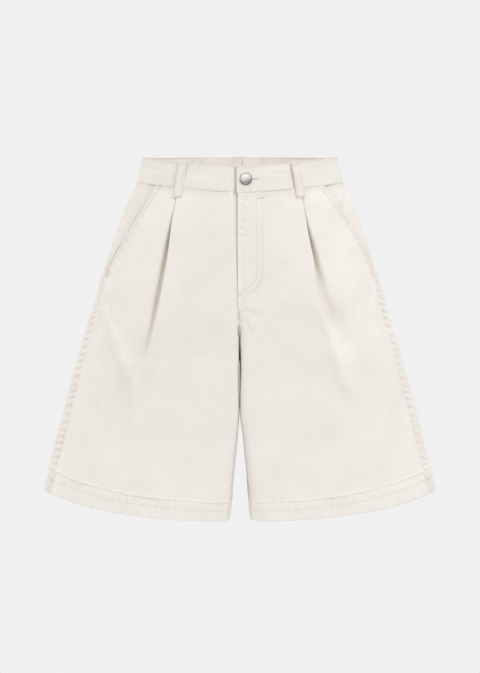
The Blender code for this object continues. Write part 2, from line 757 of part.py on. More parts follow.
def build():
    for old in list(bpy.data.objects):
        bpy.data.objects.remove(old, do_unlink=True)
    garment = new_collection("bermuda_shorts")
    cutters = new_collection("cutters")
    bands = {}
    for side in SIDES:
        front_panel(side, garment)
        back_panel(side, garment)
        pocket_facing(side, garment)
        for face in ("front", "back"):
            hem_band(side, face, garment)
        bands[side] = waistband(side, garment)
        belt_loop(f"belt_loop_front_{side}", side, front_loop_place, garment)
        belt_loop(f"belt_loop_back_{side}", side, back_side_loop_place, garment)
    belt_loop("belt_loop_centre_back", "left", centre_back_place, garment)
    placing = button_placing()
    buttonhole(bands["left"], placing, cutters)
    button(placing, garment)


build()
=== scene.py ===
"""Looks of the Bermuda shorts: creased and puckered cloth, stitching, button, light and camera.

The cloth lies on the CAD solids' sections and pleats, brought a few millimetres closer to the
photo. All lengths are in millimetres until a mesh is made. "down" is the distance below the
waist's top edge at the side, "arc" the length along a section from the centre front round the
side to the centre back, and x the distance from the middle plane. Left and right are the
wearer's; a right piece is a mirrored left one.
"""

import math

import bpy
import numpy as np
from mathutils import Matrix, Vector


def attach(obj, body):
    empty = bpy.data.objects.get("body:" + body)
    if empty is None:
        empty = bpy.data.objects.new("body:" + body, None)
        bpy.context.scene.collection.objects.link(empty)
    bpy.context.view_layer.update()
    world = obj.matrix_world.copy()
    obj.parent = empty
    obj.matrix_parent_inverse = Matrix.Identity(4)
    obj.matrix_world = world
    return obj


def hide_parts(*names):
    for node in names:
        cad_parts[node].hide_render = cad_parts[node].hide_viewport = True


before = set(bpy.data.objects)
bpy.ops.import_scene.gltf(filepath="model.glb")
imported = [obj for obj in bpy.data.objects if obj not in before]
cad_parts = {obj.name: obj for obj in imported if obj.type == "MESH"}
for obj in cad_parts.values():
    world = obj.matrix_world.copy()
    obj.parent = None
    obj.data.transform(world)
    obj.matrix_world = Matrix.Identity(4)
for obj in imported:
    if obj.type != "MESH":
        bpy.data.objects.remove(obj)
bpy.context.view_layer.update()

MM = 0.001
CLOTH = 1.1
BAND_CLOTH = 2.6
HEM_CLOTH = 2.2
LOOP_CLOTH = 1.8
SEAM = 0.3
LAYER_GAP = 0.5
WAISTBAND_HEIGHT = 37.5
HEM_SEAM_DOWN = 439.5
HEM_DOWN = 470.4
POCKET_END_DOWN = 168
FRONT_CROTCH_START = 200
BACK_CROTCH_START = 150
CROTCH_DOWN = 264
FLY_END_DOWN = 194
FLY_LAP = 2.3
BAND_LAP = 3.6
FLY_UNDERLAP = 12
FLY_RAMP = (3.2, 12.5)
FLY_RAMP_END = (2.4, 4.8)
BAND_UNDERLAP = 22
BAND_RAMP = (4.2, 21)
FACING_UNDERLAP = 14
FACING_RISE = 18
FACING_DEPTH = CLOTH + LAYER_GAP + 0.5
# A groove in the facing under the front's slanted edge, tinted dark as a painted shadow of that edge
FACING_GROOVE_AND_SHADOW = {"left": 0.5, "right": 0.8}
FACING_REACH = {"left": 2, "right": 3.4}
FACING_SHADE = {"left": 0.05, "right": 0.12}  # how much darker the facings are: painted shade
LOOP_WIDTH = 12.4
LOOP_TOP_DOWN = 1
LOOP_END_DOWN = 50.5
LOOP_BULGE = 0.9
LOOP_SUNK = 0.25  # how far a loop presses into the cloth
LOOP_TILT = {"left": -0.5, "right": 1.2}  # how far a front loop's edge away from the centre stands off
LOOP_DIP = {"left": -6.9, "right": 8}  # and where the cloth beside it is drawn in, with a painted shadow there
FRONT_LOOP_X = {"left": (75.4, 83.4), "right": (76.4, 85.2)}
BACK_SIDE_LOOP_X = 92
BUTTON_X = 8.2
BUTTON_DOWN = 18.3
BUTTON_RADIUS = 8.4
BUTTON_POST_RADIUS = 1.9
BUTTONHOLE_EYE = 2.5
BUTTONHOLE_REACH = 17
BAND_PROUD = 0.2
HEM_INSET = 0.6

# What only the looks have
LEG_SHIFT = 1.4  # how much further out the left leg's inside hangs
SEAM_RISE = {"left": 0.5, "right": 1.6}  # how much higher the waist seam lies in the cloth
PANEL_ROW = 2.3  # between two rows of points of a panel
FINE_ROW = 1.15  # and where the fly and the pocket are wrinkled
FINE_ROWS_END = 170
UNDERLAP = 3  # how far the backs run on under the fronts and facings
SEAM_TUCK = 1.5
SEAM_TURNING = 3  # how far a panel runs on under the other side's one at the centre seams
BACK_SEAM_SHIFT = 3.9  # the waistband's centre back seam, to the wearer's left of the middle
BUTTONHOLE_OPEN = 0.2
FLY_TURN_DOWN = 146
FLY_ROWS = ((23.8, 22.5), (30.6, 29.5))  # distance from the centre, and fall of the rounded end
FLY_ROWS_END = (168, 177)
CENTRE_ROW = 4.4
POCKET_ROWS = (1.8, 7)
POCKET_BAR_DOWN = 160
SIDE_ROW = 1.8
SIDE_SHADE = {"left": 0.13, "right": 0.26}  # painted shade: how much darker the backs are beside it, where they turn away
SIDE_GROOVE = {"left": 0.18, "right": 0.06}
SIDE_SLANT = 0.22  # how steeply the side seam's puckers run up and back
HEM_LEDGE_ROW = 1.7
HEM_ROW = 11.5
BACK_ROWS = (1.8, 7.4)
BAND_ROW = 1.6
BAND_TOP_ROW = 2
LOOP_ROW = 2.2  # from a belt loop's edge
LOOP_STITCHES = (-LOOP_WIDTH / 2 + LOOP_ROW, LOOP_WIDTH / 2 - LOOP_ROW)
LOOP_BAR = 2.4  # from a belt loop's end
STITCH_PITCH = 3.1
STITCH_LENGTH = 2.35
THREAD_SIDES = 5
THREAD_RADIUS = 0.27
THREAD_LIFT = 0.16
THREAD_DIP = 0.2
BUTTON_DOME = 7.75
BUTTON_RIM_SHADE = (6.8, 7.9)  # from where to where the dome is painted darker towards its rim, as shade
WEAR_AND_SHADE_RELIEF = 0.7  # relief in mm at which the cloth's tint of wear with painted shade and highlight is at its strongest

CLOTH_COLOUR = (0.835, 0.795, 0.748, 1)
CLOTH_SHADE = (0.812, 0.769, 0.720, 1)
CLOTH_LIGHT = (0.852, 0.814, 0.768, 1)
# Tints by the cloth's fine relief, partly the wear of washed cotton and partly painted light: valleys darker
# with painted shade, ridges lighter with painted highlight
VALLEY_WEAR_AND_SHADE = (0.80, 0.765, 0.725, 1)
FOLD_TINT = (1, 0.95, 0.895, 1)  # light that comes back warmer from inside a pleat
RIDGE_WEAR_AND_LIGHT = (1.05, 1.05, 1.05, 1)
THREAD_COLOUR = (0.86, 0.82, 0.77, 1)
THREAD_SHADE = (0.74, 0.69, 0.63, 1)
METAL_COLOUR = (0.66, 0.63, 0.60, 1)
METAL_SHADE = (0.50, 0.48, 0.45, 1)
TWILL_ANGLE = 63
TWILL_PITCH = 0.9
# Light from the room from below and from above, and the direction in which it grows
ROOM_LIGHT = (0.36, 1.52, (-0.22, 0, 1))
ROOM_GLOSS = (0.42, 1.72, (-0.24, 0, 1))
BACKDROP = 0.871367119  # shows as 240 of 255
KEY_POWER = 26
SOFTBOX_POWER = 4
INNER_POWER = 0.027

# Rows at the tops of a panel and of a hem: distance below the seam and how far the cloth is tucked in
PANEL_TOP = ((-3.6, 2.3), (-1.8, 2.2), (-0.8, 1.2), (-0.3, 0.25), (0.2, -0.1), (0.9, -0.25), (2, -0.28),
             (4, -0.2))
HEM_TOP = ((-3.4, 1.9), (-1.6, 1.9), (-0.4, 1.8), (0.3, 0.8), (0.8, 0.22), (1.6, 0.05))

# Camera
IMAGE_HEIGHT = 673
FOCAL_PIXELS = 2113
SENSOR = 36
CAMERA_SHIFT_PIXELS = 0.3
CAMERA_PLACE = (0, -3, -0.101)
CAMERA_TILT = 2.918

SECTION_COLUMNS = (
    "down", "half_width", "front", "back", "front_peak", "back_peak", "front_round",
    "back_round", "front_drop", "back_drop", "bend", "inner", "slot", "front_square",
    "back_square", "seam_inset",
)
SECTIONS = (
    (0, 136.9, 95, 90, 1, 1, 0.50, 0.50, -15.2, 4.1, 0.45, 0.2, 0, 11, 8, 0),
    (37.5, 145.2, 99.5, 97, 4, 6, 0.51, 0.50, -15.2, 2.6, 0.60, 0.2, 0, 11, 8, 0),
    (60, 156.4, 102.5, 103, 12, 20, 0.52, 0.50, -15, 1, 0.50, 0.2, 0, 11, 8, 1),
    (92, 169.6, 106, 112, 28, 42, 0.54, 0.50, -15.2, -1, 0.45, 0.2, 0, 11, 8, 2.5),
    (149, 189.3, 110, 123, 60, 66, 0.57, 0.51, -16, -6, 0.45, 0.2, 0, 11, 8, 5.2),
    (200, 205, 112, 127, 88, 85, 0.59, 0.52, -19, -14, 0.55, 0.2, 0, 14, 8, 10),
    (220, 211.4, 112, 126, 95, 91, 0.60, 0.53, -21, -18, 0.60, 0.2, 0.1, 18, 8, 10.8),
    (264, 225.3, 112, 122, 108, 104, 0.61, 0.54, -26, -26, 0.70, 0.2, 0.42, 24, 7, 12),
    (322, 240.8, 111, 117, 120, 118, 0.62, 0.56, -31, -31, 0.80, 0.4, 0.1, 22, 6, 12.4),
    (353, 249, 110, 114.5, 126, 125, 0.62, 0.57, -34, -34, 0.85, 2.6, 0.1, 18, 5.5, 12.6),
    (395, 260.2, 109, 112, 133, 132, 0.62, 0.58, -37, -37, 0.92, 6.9, 0, 14, 5, 12.8),
    (439.5, 271.4, 107, 109, 141, 141, 0.62, 0.59, -39.8, -39.8, 1.00, 10.8, 0, 11, 4.6, 12.8),
    (471, 279.4, 105.5, 107, 146, 146, 0.62, 0.60, -33.3, -33.3, 1.00, 13.4, 0, 10, 4.4, 12.8),
)
SLANT_COLUMNS = ("down", "x")
SLANT_LEAN = 0.887  # distance square to the slanted edge for one along the section
SLANTS = {
    "left": ((37.5, 116.5), (67, 136.5), (94, 153.5), (119, 168), (138, 178.6), (154, 184),
             (168, 187)),
    "right": ((37.5, 116.5), (66, 133.7), (102, 154.7), (120, 164.5), (141, 175.6), (155, 181.8),
              (168, 185.4)),
}
PLEAT_COLUMNS = ("down", "x", "tuck", "gape", "deep")
PLEATS = {
    "left": (
        (37.5, 83.2, 16, 0.6, 4.8),
        (60, 87.2, 15.5, 0.8, 5.2),
        (80, 90.8, 15, 2, 7.6),
        (98, 94, 13.5, 4.4, 9.6),
        (114, 97.1, 12, 7, 10.4),
        (136, 101.2, 10, 9, 10.2),
        (158, 103.6, 5.4, 13.4, 9.6),
        (178, 106.6, 0.8, 16, 8.8),
        (200, 111.4, -3, 16.5, 7),
        (222, 118.4, -5.5, 14.5, 4.8),
        (245, 128, -7, 11.5, 2.5),
        (285, 144, -8, 8, 0),
        (444, 166, -8, 8, 0),
    ),
    "right": (
        (37.5, 84.3, 16, 0.6, 4.8),
        (60, 88.4, 15.5, 0.8, 5.4),
        (76, 91.6, 15, 2, 8),
        (92, 94, 14, 3.8, 10),
        (110, 96.2, 13, 6.8, 10.6),
        (132, 99.2, 11.5, 9, 10.6),
        (160, 104, 9.5, 10.2, 10),
        (190, 109.8, 6.5, 10.2, 9.4),
        (210, 114, 3, 9.8, 8.8),
        (222, 116.8, 0.5, 9.4, 8.4),
        (240, 121.2, -2.5, 8.4, 6.8),
        (268, 128.6, -6, 6.8, 4),
        (300, 138, -8, 5, 0.8),
        (330, 146, -8, 4, 0),
        (444, 166, -8, 4, 0),
    ),
}
PLEAT_EDGE_RAISE = 0.9
PLEAT_LAYER = 2.4
PLEAT_BEFORE = 16
PLEAT_AFTER = 34
# Points under the pleat's edge: x as shares of the fold and of the open pleat, depth as a share of a
# cliff, which layer it lies on when folded, and what part of that layer's depth
PLEAT_PROFILE = (
    (0.00, 0.00, 0.12, 0, 1),
    (0.14, 0.15, 0.28, 1, 1),
    (0.50, 0.34, 0.44, 1, 1),
    (0.86, 0.50, 0.56, 1, 1),
    (1.00, 0.66, 0.68, 1, 0.5),
    (0.86, 0.82, 0.82, 2, 1),
    (0.40, 1.00, 0.95, 2, 1),
)

# Soft folds, ridges above 0 and troughs below: x and down of both ends, half width, height.
# The backs' are the solids' own. The fronts' are the solids' in finer parts, closer to the photo's.
FOLD_FADE = 0.35
FRONT_FOLDS = {
    "left": (
        (108, 200, 135, 264, 7.5, 2.6),
        (127, 253, 148, 308, 7.5, 3.9),
        (131, 204, 152, 256, 10, -5),
        (112, 254, 136, 314, 10, -0.6),
    ),
    "right": (
        (203, 212, 179, 290, 14, -4.6),
        (175, 236, 153, 288, 9, 3.2),
        (168, 296, 174, 400, 20, -4),
    ),
}
BACK_FOLDS = {
    "left": ((70, 240, 120, 380, 26, -5),),
    "right": ((84, 230, 128, 390, 24, -4.5),),
}
# Small creases that only the looks have, in the same columns.
FRONT_CREASES = {
    "left": (
        (28, 46.4, 42, 45, 2.2, -0.6),
        (6, 194, 28, 203, 2.6, -0.7),
        (6, 187, 26, 195, 3.5, 0.5),
        (7, 205, 17, 226, 2.6, -0.9),
        (10, 204, 24, 224, 3.4, 0.7),
        (28, 214, 66, 268, 12, -0.9),
        (172, 180, 150, 232, 7, -1),
        (184, 182, 178, 212, 4, -0.9),
        (60, 300, 84, 432, 16, 0.9),
        (196, 300, 214, 430, 15, -1),
    ),
    "right": (
        (5, 190, 28, 204, 3, -0.7),
        (20, 214, 52, 262, 10, -0.8),
        (186, 172, 176, 192, 4, 1.4),
        (190, 194, 172, 230, 4, -1.5),
        (176, 182, 170, 214, 5, -1),
        (130, 262, 140, 330, 9, -1.1),
        (70, 320, 60, 436, 14, -0.3),
        (214, 310, 226, 430, 14, 0.9),
        (158, 228, 166, 330, 30, 2),
    ),
}
BACK_CREASES = {
    "left": (
        (6, 190, 48, 214, 4, -1.2),
        (8, 206, 36, 244, 4, -1.1),
        (60, 60, 66, 132, 3, -1),
        (130, 236, 168, 300, 10, -1.6),
        (150, 226, 186, 290, 10, 1.2),
    ),
    "right": (
        (6, 186, 44, 210, 4, -1.1),
        (8, 200, 30, 240, 4, -1.2),
        (60, 60, 66, 132, 3, -1),
        (124, 240, 160, 310, 10, -1.4),
        (150, 232, 180, 300, 11, 1.1),
    ),
}
FACING_CREASES = ((150, 44, 138, 92, 4, -0.9), (141, 52, 150, 120, 5, 0.7))
BAND_CREASES = {
    "left": ((34, 12, 84, 15, 2.6, -0.35), (100, 12, 138, 9, 3, -0.35),
             (92, 22, 150, 19, 3.2, 0.3)),
    "right": ((142, 12, 176, 15, 5, -0.3), (98, 17, 146, 15, 2.8, -0.2),
              (30, 14, 76, 18, 3.4, -0.2)),
}
SIDES = {"left": 1, "right": -1}


# Curves and waves

def ease(x, start, end):
    """0 before start, 1 after end and smooth between them; x may be an array."""
    t = np.clip((np.asarray(x, float) - start) / (end - start), 0, 1)
    return t * t * (3 - 2 * t)


def until(x, start, end):
    """1 before start, 0 after end and smooth between them."""
    return 1 - ease(x, start, end)


def curve(table, columns, name):
    """A smooth function of the table's first column that never overshoots its rows."""
    xs, ys = np.array([(row[0], row[columns.index(name)]) for row in table], float).T
    steps = np.diff(xs)
    rises = np.diff(ys) / steps
    slopes = np.concatenate([rises[:1], np.zeros(len(xs) - 2), rises[-1:]])
    for i in range(1, len(xs) - 1):
        before, after = rises[i - 1], rises[i]
        if before * after > 0:
            first, second = 2 * steps[i] + steps[i - 1], steps[i] + 2 * steps[i - 1]
            slopes[i] = (first + second) / (first / before + second / after)

    def value(x):
        i = min(max(int(np.searchsorted(xs, x)) - 1, 0), len(steps) - 1)
        t = min(max((x - xs[i]) / steps[i], 0), 1)
        return float(ys[i] * (1 + 2 * t) * (1 - t) ** 2 + ys[i + 1] * t * t * (3 - 2 * t)
                     + steps[i] * t * (1 - t) * (slopes[i] * (1 - t) - slopes[i + 1] * t))

    return value


SIZE = {name: curve(SECTIONS, SECTION_COLUMNS, name) for name in SECTION_COLUMNS[1:]}
PLEAT = {
    side: {name: curve(table, PLEAT_COLUMNS, name) for name in PLEAT_COLUMNS[1:]}
    for side, table in PLEATS.items()
}
SLANT_X = {side: curve(table, SLANT_COLUMNS, "x") for side, table in SLANTS.items()}


def drift(along, reach, seed):
    """A smooth random value from -1 to 1 that changes over about reach mm."""
    values = np.random.default_rng(seed).uniform(-1, 1, 512)
    place = np.mod(np.asarray(along, float) / reach + 7.3, 510)
    index = place.astype(int)
    t = place - index
    t = t * t * (3 - 2 * t)
    return values[index] * (1 - t) + values[index + 1] * t


def puckers(along, period, seed):
    """Uneven rounded ripples about period mm long, with sharp valleys, from about -0.7 to 0.4."""
    phase = np.asarray(along, float) / period + 0.33 * drift(along, 2.1 * period, seed)
    wave = np.abs(np.sin(math.pi * phase)) ** 0.8 - 0.62
    return wave * (0.75 + 0.35 * drift(along, 3.7 * period, seed + 1))


def swell(x, down, seed, size):
    """Slow uneven undulation of the cloth, mostly within size mm."""
    rng = np.random.default_rng(seed)
    total, count = 0, 14
    for _ in range(count):
        length, turn, phase = (rng.uniform(*span) for span in ((38, 120), (0, math.pi), (0, 2 * math.pi)))
        along = x * math.cos(turn) + down * math.sin(turn) * 0.7
        total = total + np.sin(along * 2 * math.pi / length + phase)
    return total * size / math.sqrt(count)


def ridge(x, width):
    """A rounded ridge, 1 high where x is 0 and about width wide to each side."""
    return np.exp(-((x / width) ** 2))


def spaced(start, end, count):
    """count values at even steps after start, the last of them at end."""
    return [start + (end - start) * (i + 1) / count for i in range(count)]


def marks(start, *runs):
    """start, then count even steps to the end of each run (end, count), or one step to a bare end."""
    places = [start]
    for run in runs:
        places += spaced(places[-1], *(run if isinstance(run, tuple) else (run, 1)))
    return np.array(places)


def same_shape(first, second):
    """Both as arrays of numbers, of the same shape."""
    return np.broadcast_arrays(np.asarray(first, float), np.asarray(second, float))


def unit(vectors):
    """The vectors with length 1."""
    return vectors / np.linalg.norm(vectors, axis=-1, keepdims=True)


def run_along(points):
    """The distance of each point along the line through them all."""
    return np.concatenate([[0], np.cumsum(np.linalg.norm(np.diff(points, axis=0), axis=1))])


def pick(at, run, values):
    """The rows of values, one for each distance in run, at other distances."""
    return np.stack([np.interp(at, run, column) for column in np.transpose(values)], axis=1)


def fold_height(folds, x, down):
    """Height of all the folds of a table at places on a panel."""
    x, down = same_shape(x, down)
    height = np.zeros(x.shape)
    for x0, down0, x1, down1, width, size in folds:
        run = np.array([x1 - x0, down1 - down0])
        along = ((x - x0) * run[0] + (down - down0) * run[1]) / (run @ run)
        across = ((x - x0) * run[1] - (down - down0) * run[0]) / np.linalg.norm(run)
        ends = ease(along, -FOLD_FADE, FOLD_FADE) * until(along, 1 - FOLD_FADE, 1 + FOLD_FADE)
        height += size * ends * ridge(across, width)
    return height


# Sections

def crotch_share(down, start):
    """What is left of the crotch's quarter round at a level: about 1 at its start, 0 at its end."""
    if down <= start:
        return 0.9999
    height = (CROTCH_DOWN - down) / (CROTCH_DOWN - start)
    return min(0.9999, math.sqrt(max(0, 1 - (1 - height) ** 2)))


def inner_quarter(peak, depth, square, down, start, inner):
    """A superellipse from the centre seam, or a leg's inside, out to where the garment is deepest."""
    if down >= CROTCH_DOWN:
        reach, first_angle = peak - inner, 0
    else:
        share = crotch_share(down, start)
        cut = (1 - share**square) ** (1 / square)
        reach, first_angle = peak / cut, math.atan2(share, cut)
    angles = np.linspace(first_angle, math.pi / 2, 221)
    cosine, sine = np.abs(np.cos(angles)), np.abs(np.sin(angles))
    size = (cosine**square + sine**square) ** (-1 / square)
    return np.stack([peak - reach * size * cosine, depth * size * sine], axis=1)


def outer_quarter(peak, depth, side_round, half_width):
    """From where the garment is deepest round to its outline at the side."""
    angles = np.linspace(0, math.pi / 2, 201)[1:]
    x = peak + (half_width - peak) * np.sin(angles)
    y = depth * np.abs(np.cos(angles)) ** (2 * side_round)
    y[-1] = 0
    return np.stack([x, y], axis=1)


def opened(points, slot, depth):
    """The front's inner part moved out by slot where it faces the other leg."""
    start = points[0, 1]
    run = max(depth - start, 1)
    share = ease((points[:, 1] - start) / run, 0, 0.85) * until(points[:, 0], 8, 60)
    moved = points.copy()
    moved[:, 0] += slot * share
    return moved


def clear_of_middle(points):
    """The points moved out until cloth round them leaves half a seam to the middle plane."""
    dx, dy = points[1] - points[0]
    shift = SEAM / 2 + CLOTH / 2 * abs(dy) / math.hypot(dx, dy)
    moved = points.copy()
    moved[:, 0] += shift * np.maximum(0, 1 - (points[:, 0] - points[0, 0]) / 30)
    return moved


class Section:
    """The curve of one level on the wearer's left, by arc length from the centre front."""

    def __init__(self, down):
        self.down = down
        size = {name: value(down) for name, value in SIZE.items()}
        half_width = size["half_width"]
        inner = size["inner"] if down >= CROTCH_DOWN else 0
        halves = []
        for face, start, slot in (("front", FRONT_CROTCH_START, size["slot"]),
                                  ("back", BACK_CROTCH_START, 0)):
            peak, depth = size[f"{face}_peak"], size[face]
            inside = inner_quarter(peak, depth, size[f"{face}_square"], down, start, inner)
            outside = outer_quarter(peak, depth, size[f"{face}_round"], half_width)
            halves.append(clear_of_middle(opened(np.vstack([inside, outside]), slot, depth)))
        front, back = halves[0] * (1, -1), halves[1][-2::-1]
        self.tip_index = len(front) - 1
        xs, ys = np.concatenate([front, back]).T
        drops = np.repeat([size["front_drop"], size["back_drop"]], [len(front), len(back)])
        share = np.clip((half_width - xs) / (half_width - inner), 0, 1)
        bend = size["bend"]
        self.points = np.stack([xs, ys, -down + drops * share * (1 + bend - bend * share)], axis=1)
        self.arcs = run_along(self.points)
        self.length, self.tip = self.arcs[-1], self.arcs[self.tip_index]
        self.seam = self.arc_of_x(half_width - size["seam_inset"])
        self.front_corner = self.corner(0, size["front"], inner)
        self.back_corner = self.corner(-1, size["back"], inner)

    def arc_of_x(self, x):
        """Arc length on the front where it has come out to x."""
        first = int(np.argmin(self.points[: self.tip_index, 1]))
        xs = self.points[: self.tip_index + 1, 0].copy()
        xs[: first + 1] = np.minimum(xs[: first + 1], xs[first])
        return np.interp(x, xs, self.arcs[: self.tip_index + 1])

    def back_arc_of_x(self, x):
        """Arc length behind the side where the back has come in to x."""
        xs, arcs = self.points[self.tip_index:, 0][::-1], self.arcs[self.tip_index:][::-1]
        return np.interp(x, np.maximum.accumulate(xs), arcs)

    def corner(self, end, depth, inner):
        """Where a leg's inner corner begins and where it has turned, by arc length from that end."""
        turn = 14
        if end == 0:
            arcs, points = self.arcs[: self.tip_index], self.points[: self.tip_index]
        else:
            arcs = (self.length - self.arcs)[: self.tip_index: -1]
            points = self.points[: self.tip_index: -1]
        turned = arcs[np.argmax(points[:, 0] >= inner + turn)]
        begins = arcs[np.argmax(np.abs(points[:, 1]) >= depth - turn)]
        return max(min(begins, turned * 0.9), turned * 0.45), turned

    def at(self, arcs):
        """Points at arcs, on the other half before the centre front and past the centre back."""
        arcs = np.atleast_1d(np.asarray(arcs, float))
        inside = np.abs(arcs)
        past = inside > self.length
        points = pick(np.where(past, 2 * self.length - inside, inside), self.arcs, self.points)
        points[:, 0] *= np.where((arcs < 0) | past, -1, 1)
        return points

    def raised(self, arcs, heights):
        """Points at heights over the section."""
        return self.at(arcs) + self.outward(arcs) * heights[:, None]

    def outward(self, arcs):
        """The directions square to the cloth, pointing out of the garment."""
        arcs = np.atleast_1d(np.asarray(arcs, float))
        reach, step = 1.2, 4
        low = np.where(arcs < 0, arcs - reach, np.maximum(arcs - reach, 0))
        high = np.where(arcs > self.length, arcs + reach, np.minimum(arcs + reach, self.length))
        along = self.at(high) - self.at(low)
        normal = unit(np.stack([along[:, 1], -along[:, 0], np.zeros(len(arcs))], axis=1))
        above, below = section(max(self.down - step, 0)), section(min(self.down + step, HEM_DOWN))
        past = np.maximum(arcs, 0) - self.tip
        fall = (below.at(np.clip(below.tip + past, 0, below.length))
                - above.at(np.clip(above.tip + past, 0, above.length)))
        lean = np.einsum("ij,ij->i", fall, normal) / np.maximum(np.abs(fall[:, 2]), 0.5)
        keep = ease(np.abs(self.at(arcs)[:, 0]), 4, 26) if self.down > 150 else 1
        normal[:, 2] = np.clip(lean, -0.8, 0.8) * keep
        return unit(normal)


SECTION_CACHE = {}


def section(down):
    """The section at a level, worked out once."""
    key = round(down, 3)
    if key not in SECTION_CACHE:
        SECTION_CACHE[key] = Section(key)
    return SECTION_CACHE[key]


def lap_share(down):
    """1 where the left front laps over the right one, 0 below the fly."""
    return until(down, FLY_END_DOWN - 8, FLY_END_DOWN + 6)


def under_share(down):
    """1 where the right front is sunk under the fly, 0 below it."""
    return until(down, FLY_END_DOWN + 7, FLY_END_DOWN + 19)


def slant_arc(side, level):
    """Where the pocket's slanted edge crosses a level."""
    return level.arc_of_x(SLANT_X[side](level.down))


def pleat_points(side, down):
    """The pleat's control points across its edge: (x from the edge, height)."""
    pleat = {name: PLEAT[side][name](down) for name in PLEAT[side]}
    gape, deep = pleat["gape"], pleat["deep"]
    folded, spread = max(pleat["tuck"], 0), max(-pleat["tuck"], 0)
    layered = ease(folded, 0, 5)
    top = PLEAT_EDGE_RAISE * min(1, deep / PLEAT_LAYER / 2)
    below = (PLEAT_LAYER / 2, max(PLEAT_LAYER, 0.42 * deep), max(2 * PLEAT_LAYER, deep))
    points = [(-PLEAT_BEFORE, 0), (-8, top * 0.6), (-2.2, top)]
    for folded_x, open_x, cliff, layer, part in PLEAT_PROFILE:
        lies = below[layer] * part + below[2] * (1 - part)
        drop = lies * layered + cliff * deep * (1 - layered)
        points.append((spread * open_x - folded * folded_x, top - drop))
    lowest = points[-1][1]
    for past, share in ((gape * 0.6, 0.97), (gape + 0.6, 0.30), (gape + 6, 0.05)):
        points.append((spread + past, lowest * share))
    return np.array(points + [(PLEAT_AFTER, 0)])


def smooth_line(points, each):
    """Catmull-Rom curve through the points, with each steps between two of them."""
    padded = np.vstack([2 * points[0] - points[1], points, 2 * points[-1] - points[-2]])
    t = np.linspace(0, 1, each + 1)[1:, None]
    line = [points[:1]]
    for a, b, c, d in zip(padded, padded[1:], padded[2:], padded[3:]):
        line.append(0.5 * (2 * b + (c - a) * t + (2 * a - 5 * b + 4 * c - d) * t * t
                           + (3 * b - a - 3 * c + d) * t**3))
    return np.concatenate(line)


# Heights of each panel over its plain section, split into slow swells and the fine relief of seams, which
# also tints the cloth with wear, painted shade and painted highlight

def seam_line(distance, depth=0.45, width=0.8):
    """A groove pulled in by a line of stitches."""
    return -depth * ridge(distance, width)


def ledge(gap, height, row, depth):
    """The cloth raised over a turning at its edge, with a row of stitches pulled in."""
    return height * until(gap, 2.4, 5) + seam_line(gap - row, depth)


def fly_rows(down):
    """Distances from the centre of the fly's two rows of stitches at a level, 0 below their ends."""
    turned = max(0, down - FLY_TURN_DOWN)
    return [across * math.sqrt(max(0, 1 - (turned / fall) ** 2)) for across, fall in FLY_ROWS]


def fly_relief(level, arcs):
    """The left front's fly: its stitched rows, the wrinkles on its strip and its raised edge."""
    down = level.down
    rows = fly_rows(down)
    on = until(down, *FLY_ROWS_END)
    slope = 1 if down < FLY_TURN_DOWN else 1 + (down - FLY_TURN_DOWN) / 11
    between = arcs - sum(rows) / 2
    fine = 0.26 * puckers(down, 7.6, 91) * ridge(between, 5.2) + 0.16 * ridge(between, 1.9)
    fine = on * (fine + sum(seam_line(arcs - row, 0.24, 0.7 * slope) for row in rows if row > 0.5))
    strip = ridge(arcs - 2.4, 7.4) * ease(down, 40, 48) * until(down, 160, 178)
    fine += 0.66 * puckers(down - 0.3 * arcs, 10.4, 92) * strip * (1.3 - ease(down, 84, 116))
    fine += seam_line(arcs - CENTRE_ROW, 0.13) * ease(down, 100, 125) * on
    raised = 0.55 - 0.35 * ease(down, 150, 185)
    return fine + raised * until(arcs, -2.5, 3) * lap_share(down)


def plain_relief(level, x, arcs, middle, seed, swelling, gather):
    """(slow, fine) heights of any panel; middle is each place's distance from the centre seam."""
    down = level.down
    slow = swell(x, down, seed, swelling) * ease(middle, 2, 30) * (0.2 + 0.8 * ease(down, 38, 62))
    fine = gather * puckers(arcs, 9, seed + 7) * ridge(down - WAISTBAND_HEIGHT - 1, 6)
    return slow, fine + hem_ledge(level, arcs, seed)


